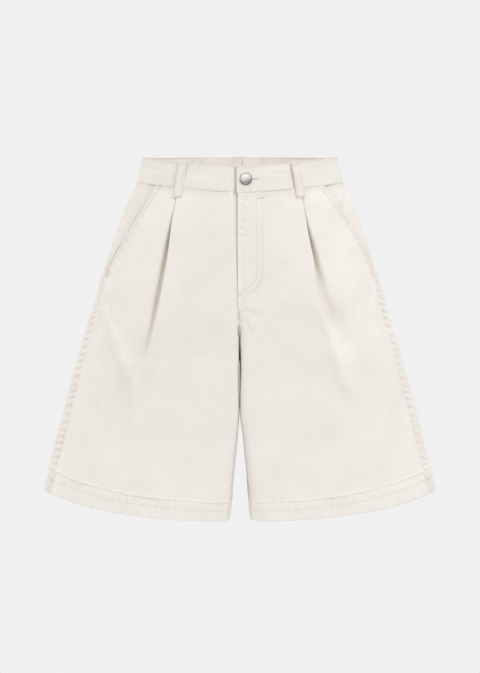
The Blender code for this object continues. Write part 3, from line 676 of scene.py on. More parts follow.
def front_relief(side, level, arcs, x, end):
    """(slow, fine) heights of a front panel, apart from its pleat and soft folds."""
    down, seed = level.down, {"left": 11, "right": 47}[side]
    slow, fine = plain_relief(level, x, arcs, arcs, seed, 0.55, 0.34)
    slow += fold_height(FRONT_CREASES[side], x, down)
    gap = (end - arcs) * SLANT_LEAN
    if down < POCKET_END_DOWN + 4:
        fade = until(down, POCKET_END_DOWN - 2, POCKET_END_DOWN + 4)
        for offset, depth in zip(POCKET_ROWS, (0.34, 0.24)):
            fine += seam_line(gap - offset, depth) * fade
        slow += 0.45 * until(gap, 5.6, 9) * fade
        bumps = 1.2 * ease(down, 38, 45) * fade
        fine += bumps * puckers(down + 0.3 * gap, 4.8, seed + 2) * ridge(gap - 4.2, 2.5)
        fine += 0.22 * until(gap, 1, 2.4) * fade
        fine += 0.30 * puckers(down - 0.5 * gap, 11, seed + 3) * ridge(gap - 10.5, 5.5) * fade
    if down > POCKET_END_DOWN - 6:
        gap = end - arcs
        on = ease(down, POCKET_END_DOWN - 4, POCKET_END_DOWN + 4)
        fine += ledge(gap, 0.60, SIDE_ROW, 0.32) * on
        fine += 0.45 * puckers(down + 0.5 * gap, 10.2, seed + 5) * ridge(gap - 1, 3.6) * on
    if side == "left":
        outer = fly_rows(down)[1]
        slow += 0.30 * until(arcs, outer - 1.5, outer + 1.5) * until(down, *FLY_ROWS_END)
        fine += fly_relief(level, arcs)
        if down > FLY_TURN_DOWN:
            fine += (seam_line(arcs - CENTRE_ROW, 0.45) + 0.35 * until(arcs, 4, 6.4)
                     + 0.50 * puckers(down, 7.5, 63) * ridge(arcs - 1, 3.4)
                     ) * ease(down, 172, 180) * until(down, 214, 226)
    else:
        # The gutter beside the fly's lapped edge, sunk and tinted dark by its fine relief: partly painted
        # shade
        gutter = 2.6 + 1.2 * until(down, 42, 70)
        shallower = 0.6 * ease(down, 70, 150) + 0.4 * ease(down, 165, 185)
        fine -= 0.5 * ridge(down - WAISTBAND_HEIGHT + 1, 1.3) * until(arcs, 6, 16)
        slow -= 0.45 * ridge(arcs - 3.6, gutter) * until(down, 132, 160)
        fine -= 0.30 * ridge(arcs - 3.2, gutter) * (1 - shallower)
    return slow, fine


def leg_seam(down):
    """Half the gap between the legs' inner seams, which is 0 above the crotch."""
    return SEAM / 2 if down >= CROTCH_DOWN - 0.001 else 0


def hem_ledge(level, arcs, seed):
    """The bottom of a panel, raised over the hem's seam and gathered a little by its stitches."""
    gap = HEM_SEAM_DOWN - level.down
    uneven = 0.75 + 0.5 * drift(arcs, 34, seed + 20)
    gathered = 0.55 * puckers(arcs + 0.25 * gap, 8.6, seed + 9) * ridge(gap - 1.5, 5.5) * uneven
    return ledge(gap, 0.42, HEM_LEDGE_ROW, 0.26) + gathered


def front_arcs(side, level):
    """(arcs, heights of the pleat, first and last arc) of one row of a front panel."""
    down = level.down
    lap = lap_share(down)
    start = leg_seam(down) - (FLY_LAP if side == "left" else FLY_UNDERLAP) * lap
    begins, turned = level.front_corner
    edge = level.arc_of_x(PLEAT[side]["x"](down))
    end = min(slant_arc(side, level), level.seam) if down < POCKET_END_DOWN else level.seam
    corner = max(begins, start + 3)
    turning = SEAM_TURNING * (1 - lap) if side == "right" and down < CROTCH_DOWN - 3 else 0
    near_end = max(turned, corner + 4, 34 * until(down, 178, 226))
    inside = marks(start - turning, start - turning / 2 + 0.08, start + 0.16, start + 0.3, start + 0.8,
                   start + 1.5, (corner, 16), (near_end, 22), (edge - PLEAT_BEFORE, 26))[:-1]
    after = min(PLEAT_AFTER, (end - edge) * 0.8)
    across, heights = smooth_line(pleat_points(side, down), 5).T
    pleat = edge + np.where(across > 0, across * after / PLEAT_AFTER, across)
    near = max(end - 16, edge + after + 1)
    outside = marks(edge + after, (near, 24), (end - 0.9, 16), end - 0.5, end - 0.2, end)[1:]
    heights = np.concatenate([inside * 0, heights, outside * 0])
    return np.concatenate([inside, pleat, outside]), heights, start, end


def centre_edge(gap, lap, down):
    """The rolled edge of a front at the centre seam, or its folded edge where the fly laps."""
    strip = ease(down, 186, 204) * until(down, 240, 256)
    rolled = -(1.2 - 0.7 * strip) * until(gap, 0, 1.5) - 2.2 * until(gap, 2.2, 4.8) * strip
    return rolled * (1 - lap) - 0.35 * until(gap, 0, 1) * lap


def folded_edge(gap, depth=0.45, width=1.1):
    """How the folded edge of a piece that lies on its neighbour rounds off."""
    return -depth * until(gap, 0, width)


def tucked(gap, depth, rise=2.2):
    """How far a piece dips where it runs on under its neighbour's edge, gap mm past that edge."""
    return -depth * until(gap, -0.6, rise)


def front_row(side, down):
    """(points, arcs, fine relief, depth in the pleat) of one row of a front panel."""
    level = section(down)
    arcs, heights, start, end = front_arcs(side, level)
    depth = ease(-heights, 0.8, 6.5) * (1 - 0.6 * ease(down, 115, 190))
    x = level.at(arcs)[:, 0]
    lap = lap_share(down)
    if side == "right":
        closed = ease(down, 60, 150)
        ramp = [a + (b - a) * closed for a, b in zip(FLY_RAMP, FLY_RAMP_END)]
        drop = CLOTH + LAYER_GAP - 0.25 * ease(down, 50, 90)
        heights -= drop * under_share(down) * until(arcs, *ramp)
        heights -= 1.3 * until(down, WAISTBAND_HEIGHT, 47) * until(arcs, *BAND_RAMP)
    slow, fine = front_relief(side, level, arcs, x, end)
    heights += slow + fine + fold_height(FRONT_FOLDS[side], x, down) * until(arcs, end - 16, end - 3)
    heights += centre_edge(np.maximum(arcs - start, 0), lap, down) + folded_edge(end - arcs)
    heights -= (CLOTH + SEAM - 0.6) * (1 - lap) * ease(start - arcs, 0, 0.6)
    return level.raised(arcs, heights), arcs, fine, depth


def facing_height(side, level, arcs):
    """Height of the pocket's facing: under the front at its slanted edge, level at the side."""
    slant = slant_arc(side, level)
    depth = FACING_DEPTH - 0.5 * until(level.down, 38, 56)
    return -depth * until(arcs, slant + 1.5, slant + FACING_RISE)


def facing_row(side, down):
    level = section(down)
    slant, end = slant_arc(side, level), level.seam
    arcs = marks(slant - FACING_UNDERLAP, (slant - 1, 6), (slant + 8, 18), (end - 1.5, 26),
                 end - 0.9, end - 0.4, end)
    past, gap = arcs - slant, end - arcs
    fine = 0.55 * puckers(down + 0.5 * gap, 9.6, 15) * ridge(gap - 1, 4) + 0.2 * until(gap, 2, 4)
    reach = 1.6 + 2.2 * ease(down, 45, 100) + FACING_REACH[side] * ease(down, 104, 136)
    # The groove under the front's edge, its tint a painted shadow
    fine -= FACING_GROOVE_AND_SHADOW[side] * until(past, reach, reach + 2.2) * ease(down, 38, 50)
    # Painted shade: the facing darkened mostly in colour only, the height given back below
    shade = FACING_SHADE[side] + 0.05 * until(down, 50, 85)
    fine -= shade * ease(past, 0, 4)
    slow = swell(arcs, down, 5, 0.4) * ease(past, 2, 14)
    slow += fold_height(FACING_CREASES, level.at(arcs)[:, 0], down)
    heights = facing_height(side, level, arcs) + slow + fine + shade + folded_edge(gap)
    return level.raised(arcs, heights), arcs, fine


def back_tuck(side, level):
    """How far the back's edge lies in at the side seam, under the facing or the front."""
    share = until(level.down, POCKET_END_DOWN + 2, POCKET_END_DOWN + 14)
    return SEAM_TUCK - share * facing_height(side, level, level.seam)


def back_relief(side, level, arcs, x):
    """(slow, fine) heights of a back panel, apart from its soft folds."""
    down, seed = level.down, {"left": 23, "right": 71}[side]
    middle, gap = level.length - arcs, arcs - level.seam
    slow, fine = plain_relief(level, x, arcs, middle, seed, 0.6, 0.35)
    slow += fold_height(BACK_CREASES[side], x, down) * (arcs > level.tip)
    on = 0.35 + 0.65 * ease(down, POCKET_END_DOWN - 16, POCKET_END_DOWN + 50)
    strip = ease(gap, 0, 2.5) * until(gap, 12, 30)
    fine += 0.95 * puckers(down - SIDE_SLANT * gap, 10.2, seed + 5) * strip * on
    fine -= SIDE_GROOVE[side] * ridge(gap - 3, 3) * on
    # Painted shade on the back beside the side seam, in colour only: it is added back to the height
    shade = SIDE_SHADE[side] * until(gap, 16, 44)
    if down < 222:
        rows = sum(seam_line(middle - row, 0.3) for row in BACK_ROWS)
        ripple = 0.4 * puckers(down, 8, seed + 13) * ridge(middle - 4.5, 4)
        fine += (rows * (side == "left") + ripple) * until(down, 206, 220)
    return slow + shade, fine - shade


def back_row(side, down):
    level = section(down)
    begins, turned = level.back_corner
    start = level.seam - UNDERLAP
    outline = max(level.tip, level.seam + 8)
    turning = SEAM_TURNING if side == "left" and down < CROTCH_DOWN - 3 else 0
    finish = level.length + turning - leg_seam(down)
    arcs = marks(start, (level.seam + 2.4, 8), (outline, 18), (outline + 30, 14),
                 (level.length - turned, 62), (level.length - begins, 16), (finish - 1.5, 14),
                 finish - 0.9, finish - 0.4, finish)
    x, past, beyond = level.at(arcs)[:, 0], arcs - level.seam, arcs - level.length
    slow, fine = back_relief(side, level, arcs, x)
    heights = fold_height(BACK_FOLDS[side], x, down) * (arcs > level.tip)
    heights += (slow + fine) * ease(past, -1, 2) + tucked(past, back_tuck(side, level))
    heights -= until(-beyond, 0, 1.4) + (CLOTH + SEAM - 1) * ease(beyond, 0, 0.6)
    return level.raised(arcs, heights), arcs, fine


def flat_rows(downs):
    """Rows that aren't tucked in."""
    return [(down, 0) for down in downs]


def panel_downs(side):
    """(down, how far the cloth is tucked in) of a panel's rows, from under the waistband to the hem."""
    bottom = HEM_SEAM_DOWN - SEAM
    rows = [(WAISTBAND_HEIGHT - SEAM_RISE[side] + past, tuck) for past, tuck in PANEL_TOP]
    for end, step in ((FINE_ROWS_END, FINE_ROW), (bottom - 5.4, PANEL_ROW)):
        start = rows[-1][0]
        rows += flat_rows(spaced(start, end, round((end - start) / step)))
    rows += flat_rows(spaced(bottom - 5.4, bottom - 0.6, 5))
    return rows + [(bottom - 0.2, 0.2), (bottom + 0.2, 0.55)]


def facing_downs(side):
    """The panel's rows down to the pocket's end, tucked in half as far."""
    return [(down, 0.5 * tuck) for down, tuck in panel_downs(side) if down < POCKET_END_DOWN + 5]


def hem_downs(_side):
    """Rows of a hem, from under the panel's raised bottom edge to the hem's own fold."""
    rows = [(HEM_SEAM_DOWN + past, tuck) for past, tuck in HEM_TOP]
    return rows + flat_rows(spaced(rows[-1][0], HEM_DOWN - 1, 19)) + [(HEM_DOWN - 0.4, 0.1), (HEM_DOWN, 0.3)]


def hem_relief(level, arcs, seed):
    """Fine relief of a hem: its second row of stitches and the ticks that it draws above it."""
    drop = level.down - HEM_SEAM_DOWN
    fine = seam_line(drop - HEM_ROW, 0.20, 1.1)
    band = ease(drop, 0, 2.5) * until(drop, HEM_ROW, HEM_ROW + 5)
    uneven = 0.8 + 0.4 * drift(arcs, 30, seed + 2)
    fine = fine + 0.27 * puckers(arcs + 0.12 * drop, 9.6, seed) * band * uneven
    return fine + 0.25 * puckers(arcs, 19, seed + 1) * ease(drop, HEM_ROW, HEM_DOWN - HEM_SEAM_DOWN)


def hem_row(side, level, arcs, seed, dip, tick, darker):
    """A hem's row at arcs, from how far it dips, how strong its relief is and how much painted shade it
    gets.
    """
    past, drop = arcs - level.seam, level.down - HEM_SEAM_DOWN
    # Painted shade beside the side seam, in colour only
    shade = darker * until(past, 16, 44)
    # The back hem drawn in beside the side seam, sunk and darker through its tint, partly painted shade
    drawn_in = 0.32 * ridge(drop - HEM_ROW - 1.5, 1.8) + 0.12 * ease(drop, 20, 30)
    fine = hem_relief(level, arcs, seed + (0 if side == "left" else 40)) * tick - shade
    fine -= drawn_in * ease(past, -2, 3) * until(past, 14, 30)
    return level.raised(arcs, fine + shade + dip - HEM_INSET), arcs, fine


def hem_front_row(side, down):
    level = section(down)
    seam, (begins, turned) = level.seam, level.front_corner
    arcs = marks(SEAM / 2, (begins, 22), (turned, 14), (seam - 1.5, 120), seam - 0.9, seam - 0.4, seam)
    dip = folded_edge(seam - arcs, 0.8, 2.2) + folded_edge(arcs - SEAM / 2, 0.8)
    return hem_row(side, level, arcs, 3, dip, 1, 0)


def hem_back_row(side, down):
    level = section(down)
    seam, (begins, turned), finish = level.seam, level.back_corner, level.length - SEAM / 2
    arcs = marks(seam - UNDERLAP, (seam + 2.4, 6), (max(level.tip, seam + 8), 14),
                 (level.length - turned, 100), (level.length - begins, 14), (finish, 22))
    dip = tucked(arcs - seam, HEM_CLOTH + SEAM, 1.6) + folded_edge(finish - arcs, 0.8)
    return hem_row(side, level, arcs, 8, dip, ease(arcs - seam, -1, 2), SIDE_SHADE[side])


def loop_arc(side, level):
    """Where the front belt loop crosses a level."""
    share = (level.down - LOOP_TOP_DOWN) / (LOOP_END_DOWN - LOOP_TOP_DOWN)
    return front_loop_place(side)(level, min(max(share, 0), 1))


def loop_shade(side, level, arcs):
    """The narrow dip in the cloth beside the edge of a front belt loop that stands off, tinted dark as the
    loop's painted shadow.
    """
    from_end = min(level.down - LOOP_TOP_DOWN, LOOP_END_DOWN - level.down)
    return -0.9 * ridge(arcs - loop_arc(side, level) - LOOP_DIP[side], 1.4) * ease(from_end, 0, 4)


def band_row(side, down):
    level, left = section(down), side == "left"
    start = -BAND_LAP if left else -BAND_UNDERLAP
    finish = level.length - (BACK_SEAM_SHIFT + SEAM if left else -BACK_SEAM_SHIFT)
    loop = loop_arc(side, level)
    arcs = marks(
        start, start + 0.4, start + 1, (BUTTON_X - BUTTONHOLE_EYE, 5 if left else 14),
        (BUTTON_X + BUTTONHOLE_EYE, 5), (BUTTON_X + BUTTONHOLE_REACH, 12), (loop - 10, 22),
        (loop + 10, 30), (finish - 1, 140), finish - 0.4, finish)
    seed, x = 31 if left else 83, level.at(arcs)[:, 0]
    low = WAISTBAND_HEIGHT - SEAM_RISE[side] - down
    heights = swell(arcs, 2.2 * down, seed, 0.4) * ease(arcs, 12, 36) * (1 - 0.8 * ease(down, 22, 35))
    heights += BAND_PROUD + fold_height(BAND_CREASES[side], arcs, down)
    heights -= 0.2 * until(down, 0, 0.8) + 0.38 * until(low, 0, 1.4)
    fine = seam_line(low - BAND_ROW, 0.14) + 0.30 * puckers(arcs, 8.2, seed) * ridge(low - 2, 4)
    fine += 0.16 * puckers(arcs, 9, seed + 1) * ridge(down - 2, 4)
    fine += 0.25 * drift(arcs, 5, seed + 9) * ridge(down - 5, 8) * (arcs > level.tip + 20)
    fine = fine * ease(arcs, start, start + 3) + loop_shade(side, level, arcs)
    if left:
        heights += folded_edge(arcs - start, 0.5)
        dip = 1.5 * np.sin(math.pi * np.clip(x / 137, 0, 1))
    else:
        heights -= (BAND_CLOTH + LAYER_GAP) * until(arcs, *BAND_RAMP)
        # The gutter beside the left band's lapped end, sunk and tinted dark through its fine relief: partly
        # painted shade
        fine -= 0.75 * ridge(arcs - 5, 3)
        dip = 2.5 * ridge(x - 97, 22)
    # Painted shade along the waistband's top edge, in colour only
    worn_and_shaded = np.where(arcs < level.tip, 0.55, 0.3 + 0.45 * ease(level.length - arcs, 40, 90))
    points = level.raised(arcs, heights + fine)
    points[:, 2] -= dip * ((arcs > 0) & (arcs < level.tip)) * until(down, 0, 34)
    return points, arcs, fine - worn_and_shaded * until(down, 0.5, 2.2)


def band_downs(side):
    slit, bottom = BUTTONHOLE_OPEN / 2, WAISTBAND_HEIGHT - SEAM_RISE[side]
    return flat_rows(marks(
        0, 0.4, 1, (BUTTON_DOWN - slit - 0.8, 13), BUTTON_DOWN - slit, BUTTON_DOWN + slit,
        BUTTON_DOWN + slit + 0.8, (bottom - 1, 14), bottom - 0.4, bottom))


class Surface:
    """The middle surface of one piece of cloth, as a grid of points with their arcs and downs."""

    def __init__(self, side, downs, row, wall):
        """row(side, down) gives a row's points, arcs and fine relief; downs also says how far it tucks."""
        self.side, self.wall = side, wall
        self.downs = np.array([down for down, _ in downs])
        points, arcs, fine, fold = [], [], [], []
        for down, tuck in downs:
            line, along, relief, *depth = row(side, down)
            if side == "left":
                spread = ease(down, 322, 362) * (1 - 0.5 * ease(down, 430, HEM_DOWN))
                line[:, 0] += LEG_SHIFT * spread * until(line[:, 0], 8, 90)
            if tuck:
                line = line - section(down).outward(along) * tuck
            points.append(line)
            arcs.append(along)
            fine.append(relief)
            fold += depth
        self.points, self.arcs, self.fine = np.array(points), np.array(arcs), np.array(fine)
        self.fold = np.array(fold)
        self.points[..., 0] *= SIDES[side]
        self.order = np.maximum.accumulate(self.arcs, axis=1)

    def middle(self, arcs, downs):
        """Points of the middle surface at arcs and downs."""
        arcs, downs = same_shape(arcs, downs)
        rows = np.clip(np.searchsorted(self.downs, downs, side="right") - 1, 0, len(self.downs) - 2)
        found = np.empty((len(arcs), 3))
        shares = np.clip((downs - self.downs[rows]) / (self.downs[rows + 1] - self.downs[rows]), 0, 1)
        for i, (arc, row, share) in enumerate(zip(arcs, rows, shares)):
            upper, lower = (pick([arc], self.order[k], self.points[k])[0] for k in (row, row + 1))
            found[i] = upper * (1 - share) + lower * share
        return found

    def face(self, arcs, downs, lift=0):
        """(points on the outer face, directions out of the cloth) at arcs and downs."""
        arcs, downs = same_shape(arcs, downs)
        reach = 0.9
        along = self.middle(arcs + reach, downs) - self.middle(arcs - reach, downs)
        fall = self.middle(arcs, downs + reach) - self.middle(arcs, downs - reach)
        out = unit(np.cross(fall, along) * SIDES[self.side])
        return self.middle(arcs, downs) + out * (self.wall / 2 + lift), out


# Meshes

def mesh_object(name, points, faces, mat, slot, uv=None, **tints):
    """A smooth mesh of points in millimetres that rides with the garment."""
    mesh = bpy.data.meshes.new(name)
    mesh.from_pydata((np.asarray(points) * MM).tolist(), [], faces)
    if uv is not None:
        layer = mesh.uv_layers.new(name="cloth")
        corners = np.empty(len(mesh.loops), dtype=np.int32)
        mesh.loops.foreach_get("vertex_index", corners)
        layer.data.foreach_set("uv", (uv[corners] * MM).ravel())
    for tint, values in tints.items():
        attribute = mesh.attributes.new(tint, "FLOAT", "POINT")
        attribute.data.foreach_set("value", np.asarray(values, np.float32))
    mesh.materials.append(mat)
    mesh.shade_smooth()
    made = placed(name, mesh)
    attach(made, "root")
    return made


def cloth(node, surface, hole=None):
    """A closed wall of cloth round a surface; hole says which of its faces are cut out."""
    count, across = surface.arcs.shape
    index = np.arange(count * across).reshape(count, across)
    a, b, c, d = index[:-1, :-1], index[1:, :-1], index[1:, 1:], index[:-1, 1:]
    order = (a, b, c, d) if surface.side == "left" else (d, c, b, a)
    faces = np.stack(order, axis=-1).reshape(-1, 4)
    places = np.stack([surface.arcs, np.broadcast_to(surface.downs[:, None], surface.arcs.shape)], axis=-1)
    if hole is not None:
        middle = (places[:-1, :-1] + places[1:, 1:]) / 2
        faces = faces[~hole(middle.reshape(-1, 2))]
    uv = places.reshape(-1, 2) * np.array([SIDES[surface.side], 1])
    # The fine relief tints the cloth: wear, with painted shade in its valleys and painted highlight on its
    # ridges; the pleat depth sets a painted warm light
    tints = {"wear": np.clip(surface.fine / WEAR_AND_SHADE_RELIEF, -1, 1).ravel()}
    if surface.fold.size:
        tints["fold"] = surface.fold.ravel()
    made = mesh_object(f"{node}_cloth", surface.points.reshape(-1, 3), faces.tolist(), FABRIC,
                       "ecru_twill", uv, **tints)
    thick = made.modifiers.new("cloth", "SOLIDIFY")
    thick.thickness = surface.wall * MM
    thick.offset = 0
    thick.use_even_offset = False
    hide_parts(node)
    return made


def keyhole(middle):
    """Which faces of the left waistband lie in its buttonhole."""
    from_button = middle - np.array([BUTTON_X, BUTTON_DOWN])
    reach = (from_button[:, 0] > -BUTTONHOLE_EYE) & (from_button[:, 0] < BUTTONHOLE_REACH)
    slit = reach & (np.abs(from_button[:, 1]) < BUTTONHOLE_OPEN / 2)
    return slit | (np.hypot(from_button[:, 0], from_button[:, 1]) < BUTTONHOLE_EYE)


# Sewing

THREADS = {}


def keep_threads(name, starts, ends, outs):
    """Note stitches, one thread each, for the piece that will hold them all."""
    THREADS.setdefault(f"{name}_stitches", []).append((starts, ends, outs))


def sew_points(name, points, outs, seed):
    """A row of stitches along a line of points."""
    run = run_along(points)
    count = int(run[-1] / STITCH_PITCH)
    begins = (np.arange(count) + 0.15) * STITCH_PITCH
    begins = begins + np.random.default_rng(seed + 5).uniform(-0.18, 0.18, count)
    ends = begins + STITCH_LENGTH
    keep_threads(name, pick(begins, run, points), pick(ends, run, points),
                 pick((begins + ends) / 2, run, outs))


def sew(node, arcs, downs, seed):
    """A row of stitches along places on a piece of cloth."""
    sew_points(node, *SURFACES[node].face(arcs, downs), seed)


def satin(node, first, last, width, pitch=0.5, lift=0.1, name=None):
    """Close stitches side by side across the line from one place (arc, down) to another."""
    arcs, downs = np.linspace(first, last, 9).T
    points, outs = SURFACES[node].face(arcs, downs, lift)
    run = run_along(points)
    at = np.arange(0, run[-1], pitch)
    centres, out = pick(at, run, points), pick(at, run, outs)
    across = unit(np.cross(out, unit(points[-1] - points[0])))
    spread = width / 2 * (1 + 0.08 * np.sin(at * 5.1))[:, None]
    keep_threads(name or node, centres - across * spread, centres + across * spread, out)


def thread_mesh(name, rows):
    """Stitches as short rounded threads whose ends dip into the cloth."""
    starts, ends, outs = (np.concatenate([row[k] for row in rows]) for k in range(3))
    run = ends - starts
    ahead = unit(run)
    outs = unit(outs - ahead * np.einsum("ij,ij->i", outs, ahead)[:, None])
    across = np.cross(ahead, outs)
    angles = np.arange(THREAD_SIDES) * 2 * math.pi / THREAD_SIDES
    ring = outs[:, None] * np.cos(angles)[:, None] + across[:, None] * np.sin(angles)[:, None]
    ring = ring * THREAD_RADIUS
    layers = [
        (starts - outs * THREAD_DIP)[:, None],
        (starts + run * 0.22 + outs * THREAD_LIFT)[:, None] + ring,
        (starts + run * 0.78 + outs * THREAD_LIFT)[:, None] + ring,
        (ends - outs * THREAD_DIP)[:, None],
    ]
    points = np.concatenate(layers, axis=1)
    size = points.shape[1]
    faces = []
    for k in range(THREAD_SIDES):
        j = (k + 1) % THREAD_SIDES
        near, far = 1, 1 + THREAD_SIDES
        faces += [(0, near + j, near + k), (near + k, near + j, far + j, far + k),
                  (size - 1, far + k, far + j)]
    every = [tuple(i * size + v for v in face) for i in range(len(starts)) for face in faces]
    mesh_object(name, points.reshape(-1, 3), every, THREAD, "ecru_twill")


def tube(rings, around, first=0):
    """The faces between rings of around points each."""
    faces = []
    for near in range(first, first + (rings - 1) * around, around):
        for k in range(around):
            j = (k + 1) % around
            faces.append((near + k, near + j, near + around + j, near + around + k))
    return faces


# Belt loops

def loop_rows(place, seed, tilt):
    """Rows of a belt loop's strap: centre, directions across and outward, down, share of its length."""
    last = 72
    on_band = BAND_PROUD + BAND_CLOTH / 2 + LOOP_CLOTH / 2 - LOOP_SUNK
    on_panel = PLEAT_EDGE_RAISE + CLOTH / 2 + LOOP_CLOTH / 2 - LOOP_SUNK
    rows = []
    for i in range(last + 1):
        share = i / last
        down = LOOP_TOP_DOWN + (LOOP_END_DOWN - LOOP_TOP_DOWN) * share
        level = section(down)
        middle = place(level, share)
        low = ease(down, WAISTBAND_HEIGHT, WAISTBAND_HEIGHT + 9)
        bow = math.sin(math.pi * share)
        height = on_band * (1 - low) + on_panel * low + LOOP_BULGE * bow**0.8
        height += 0.35 * drift(down, 9, seed) * bow
        out = level.outward(middle)[0]
        ahead = (level.at(middle + 3) - level.at(middle - 3))[0]
        along = unit(ahead) * (1, 1, 0.6) + out * tilt / (LOOP_WIDTH / 2) * max(bow, 0.4) ** 0.6
        lean = 0.5 * drift(down, 26, seed + 1) * bow
        rows.append((level.at(middle)[0] + out * height + along * lean, along, out, down, share))
    return rows


def belt_loop(name, side, place, seed):
    """A folded strap with rounded sides, thicker at its turned ends, and its rows of stitches."""
    around = 32
    angles = np.arange(around) * 2 * math.pi / around
    cosine, sine = np.cos(angles), np.sin(angles)
    flat = np.sign(cosine) * np.abs(cosine) ** 0.42
    thick = np.sign(sine) * np.abs(sine) ** 0.7
    total = LOOP_END_DOWN - LOOP_TOP_DOWN
    points, uv, wear, tops, outs = [], [], [], [], []
    rows = loop_rows(place, seed, LOOP_TILT[side] if "front" in name else 0)
    for centre, along, out, down, share in rows:
        from_end = min(share, 1 - share) * total
        end_round = math.sqrt(max(0, 1 - max(0, 1 - from_end / 0.9) ** 2))
        half = LOOP_WIDTH / 2 * (1 + 0.02 * drift(down, 7, seed + 2)) * (0.9 + 0.1 * end_round)
        depth = LOOP_CLOTH / 2 * (1 + 0.32 * until(from_end, 3.4, 5.2)) * max(end_round, 0.12)
        from_edge = np.abs(flat) * half - LOOP_WIDTH / 2
        relief = seam_line(from_edge + LOOP_ROW, 0.16, 0.7) - 0.34 * ridge(from_end - LOOP_BAR, 0.9)
        relief += 0.2 * puckers(down, 5.2, seed + 3) * ridge(from_edge + 1.2, 1.6)
        relief *= sine > 0
        points.append(centre + np.outer(flat * half, along) + np.outer(thick * depth + relief, out))
        uv.append(np.stack([flat * half, np.full(around, down)], axis=1))
        # The strap's tint: wear with painted shade and highlight from its relief, and painted shade along
        # its top end
        wear.append(relief / WEAR_AND_SHADE_RELIEF - 0.9 * (share < 0.5) * until(from_end, 0.3, 1.3))
        tops.append([centre + along * offset + out * (depth * 0.97) for offset in LOOP_STITCHES])
        outs.append(out)
    last = len(rows) - 1
    mirror = np.array([SIDES[side], 1, 1])
    ends = [tuple(range(around))[::-1], tuple(last * around + k for k in range(around))]
    faces = [face if side == "left" else face[::-1] for face in tube(last + 1, around) + ends]
    made = mesh_object(f"{name}_strap", np.concatenate(points) * mirror, faces, FABRIC, "ecru_twill",
                       np.concatenate(uv), wear=np.clip(np.concatenate(wear), -1, 1))
    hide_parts(name)
    tops, outs = np.array(tops) * mirror, np.array(outs) * mirror
    for k in range(len(LOOP_STITCHES)):
        sew_points(name, tops[3:-3, k], outs[3:-3], seed + k)
    bar = round(LOOP_BAR / total * (last + 1))
    for row in (bar, last - bar):
        centre, along, out, _, _ = rows[row]
        top = (centre + out * (LOOP_CLOTH / 2 * 1.28 - 0.2)) * mirror
        fall = np.cross(out, along) * mirror * 0.85
        at = np.arange(-LOOP_WIDTH / 2 + 0.7, LOOP_WIDTH / 2 - 0.6, 0.5)[:, None] * (along * mirror)
        keep_threads(name, top + at - fall, top + at + fall, np.broadcast_to(out * mirror, at.shape))


def front_loop_place(side):
    """Where each row of a front belt loop lies on its level."""
    top, bottom = FRONT_LOOP_X[side]
    return lambda level, share: level.arc_of_x(top + (bottom - top) * share)


def back_side_loop_place(level, _share):
    return level.back_arc_of_x(BACK_SIDE_LOOP_X * SIZE["half_width"](level.down) / SIZE["half_width"](0))


def centre_back_place(level, _share):
    return level.length


# Button

def button_frame():
    """(middle of the waistband's face at the button, along, across, outward) in millimetres."""
    step = 3
    above, level, below = (section(BUTTON_DOWN + past) for past in (-step, 0, step))
    share = BUTTON_X / level.length
    fall = (below.at(share * below.length) - above.at(share * above.length))[0]
    along = unit((level.at(BUTTON_X + step) - level.at(BUTTON_X - step))[0])
    out = unit(np.cross(unit(fall), along))
    face = level.at(BUTTON_X)[0] + out * (BAND_PROUD + BAND_CLOTH / 2)
    return face, along, np.cross(out, along), out


def button():
    """The domed cap with its rolled rim, and the post that runs through the buttonhole."""
    around = 72
    face, along, across, out = button_frame()
    dome = [(BUTTON_DOME * math.sin(a), 1.15 + 3.2 * math.cos(a)) for a in np.linspace(0, 1.44, 16)]
    roll = 0.55
    rim = [(BUTTON_RADIUS - roll + roll * math.cos(a), 0.95 + roll * math.sin(a))
           for a in np.linspace(2.5, -1.5, 13)]
    post_end = -(BAND_CLOTH + LAYER_GAP - SEAM)
    profile = dome + rim + [(7.2, 0.34), (BUTTON_POST_RADIUS + 0.5, 0.34), (BUTTON_POST_RADIUS, -0.2),
                            (BUTTON_POST_RADIUS, post_end)]
    angles = np.arange(around) * 2 * math.pi / around
    points, wear = [face + out * profile[0][1]], [1]
    for r, z in profile[1:]:
        for angle in angles:
            points.append(face + along * r * math.cos(angle) + across * r * math.sin(angle) + out * z)
            # Painted shade on the dome towards its rim, wider on its lower side
            wear.append(until(r - 0.4 * math.sin(angle), *BUTTON_RIM_SHADE) if z > 1 else 0)
    points.append(face + out * post_end)
    wear.append(0)
    rings = len(profile) - 1
    faces = [(a, d, c, b) for a, b, c, d in tube(rings, around, 1)]
    last = 1 + (rings - 1) * around
    for k in range(around):
        j = (k + 1) % around
        faces += [(0, 1 + k, 1 + j), (len(points) - 1, last + j, last + k)]
    made = mesh_object("waist_button_dome", points, faces, METAL, "silver_metal", wear=wear)
    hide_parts("waist_button")


# Materials

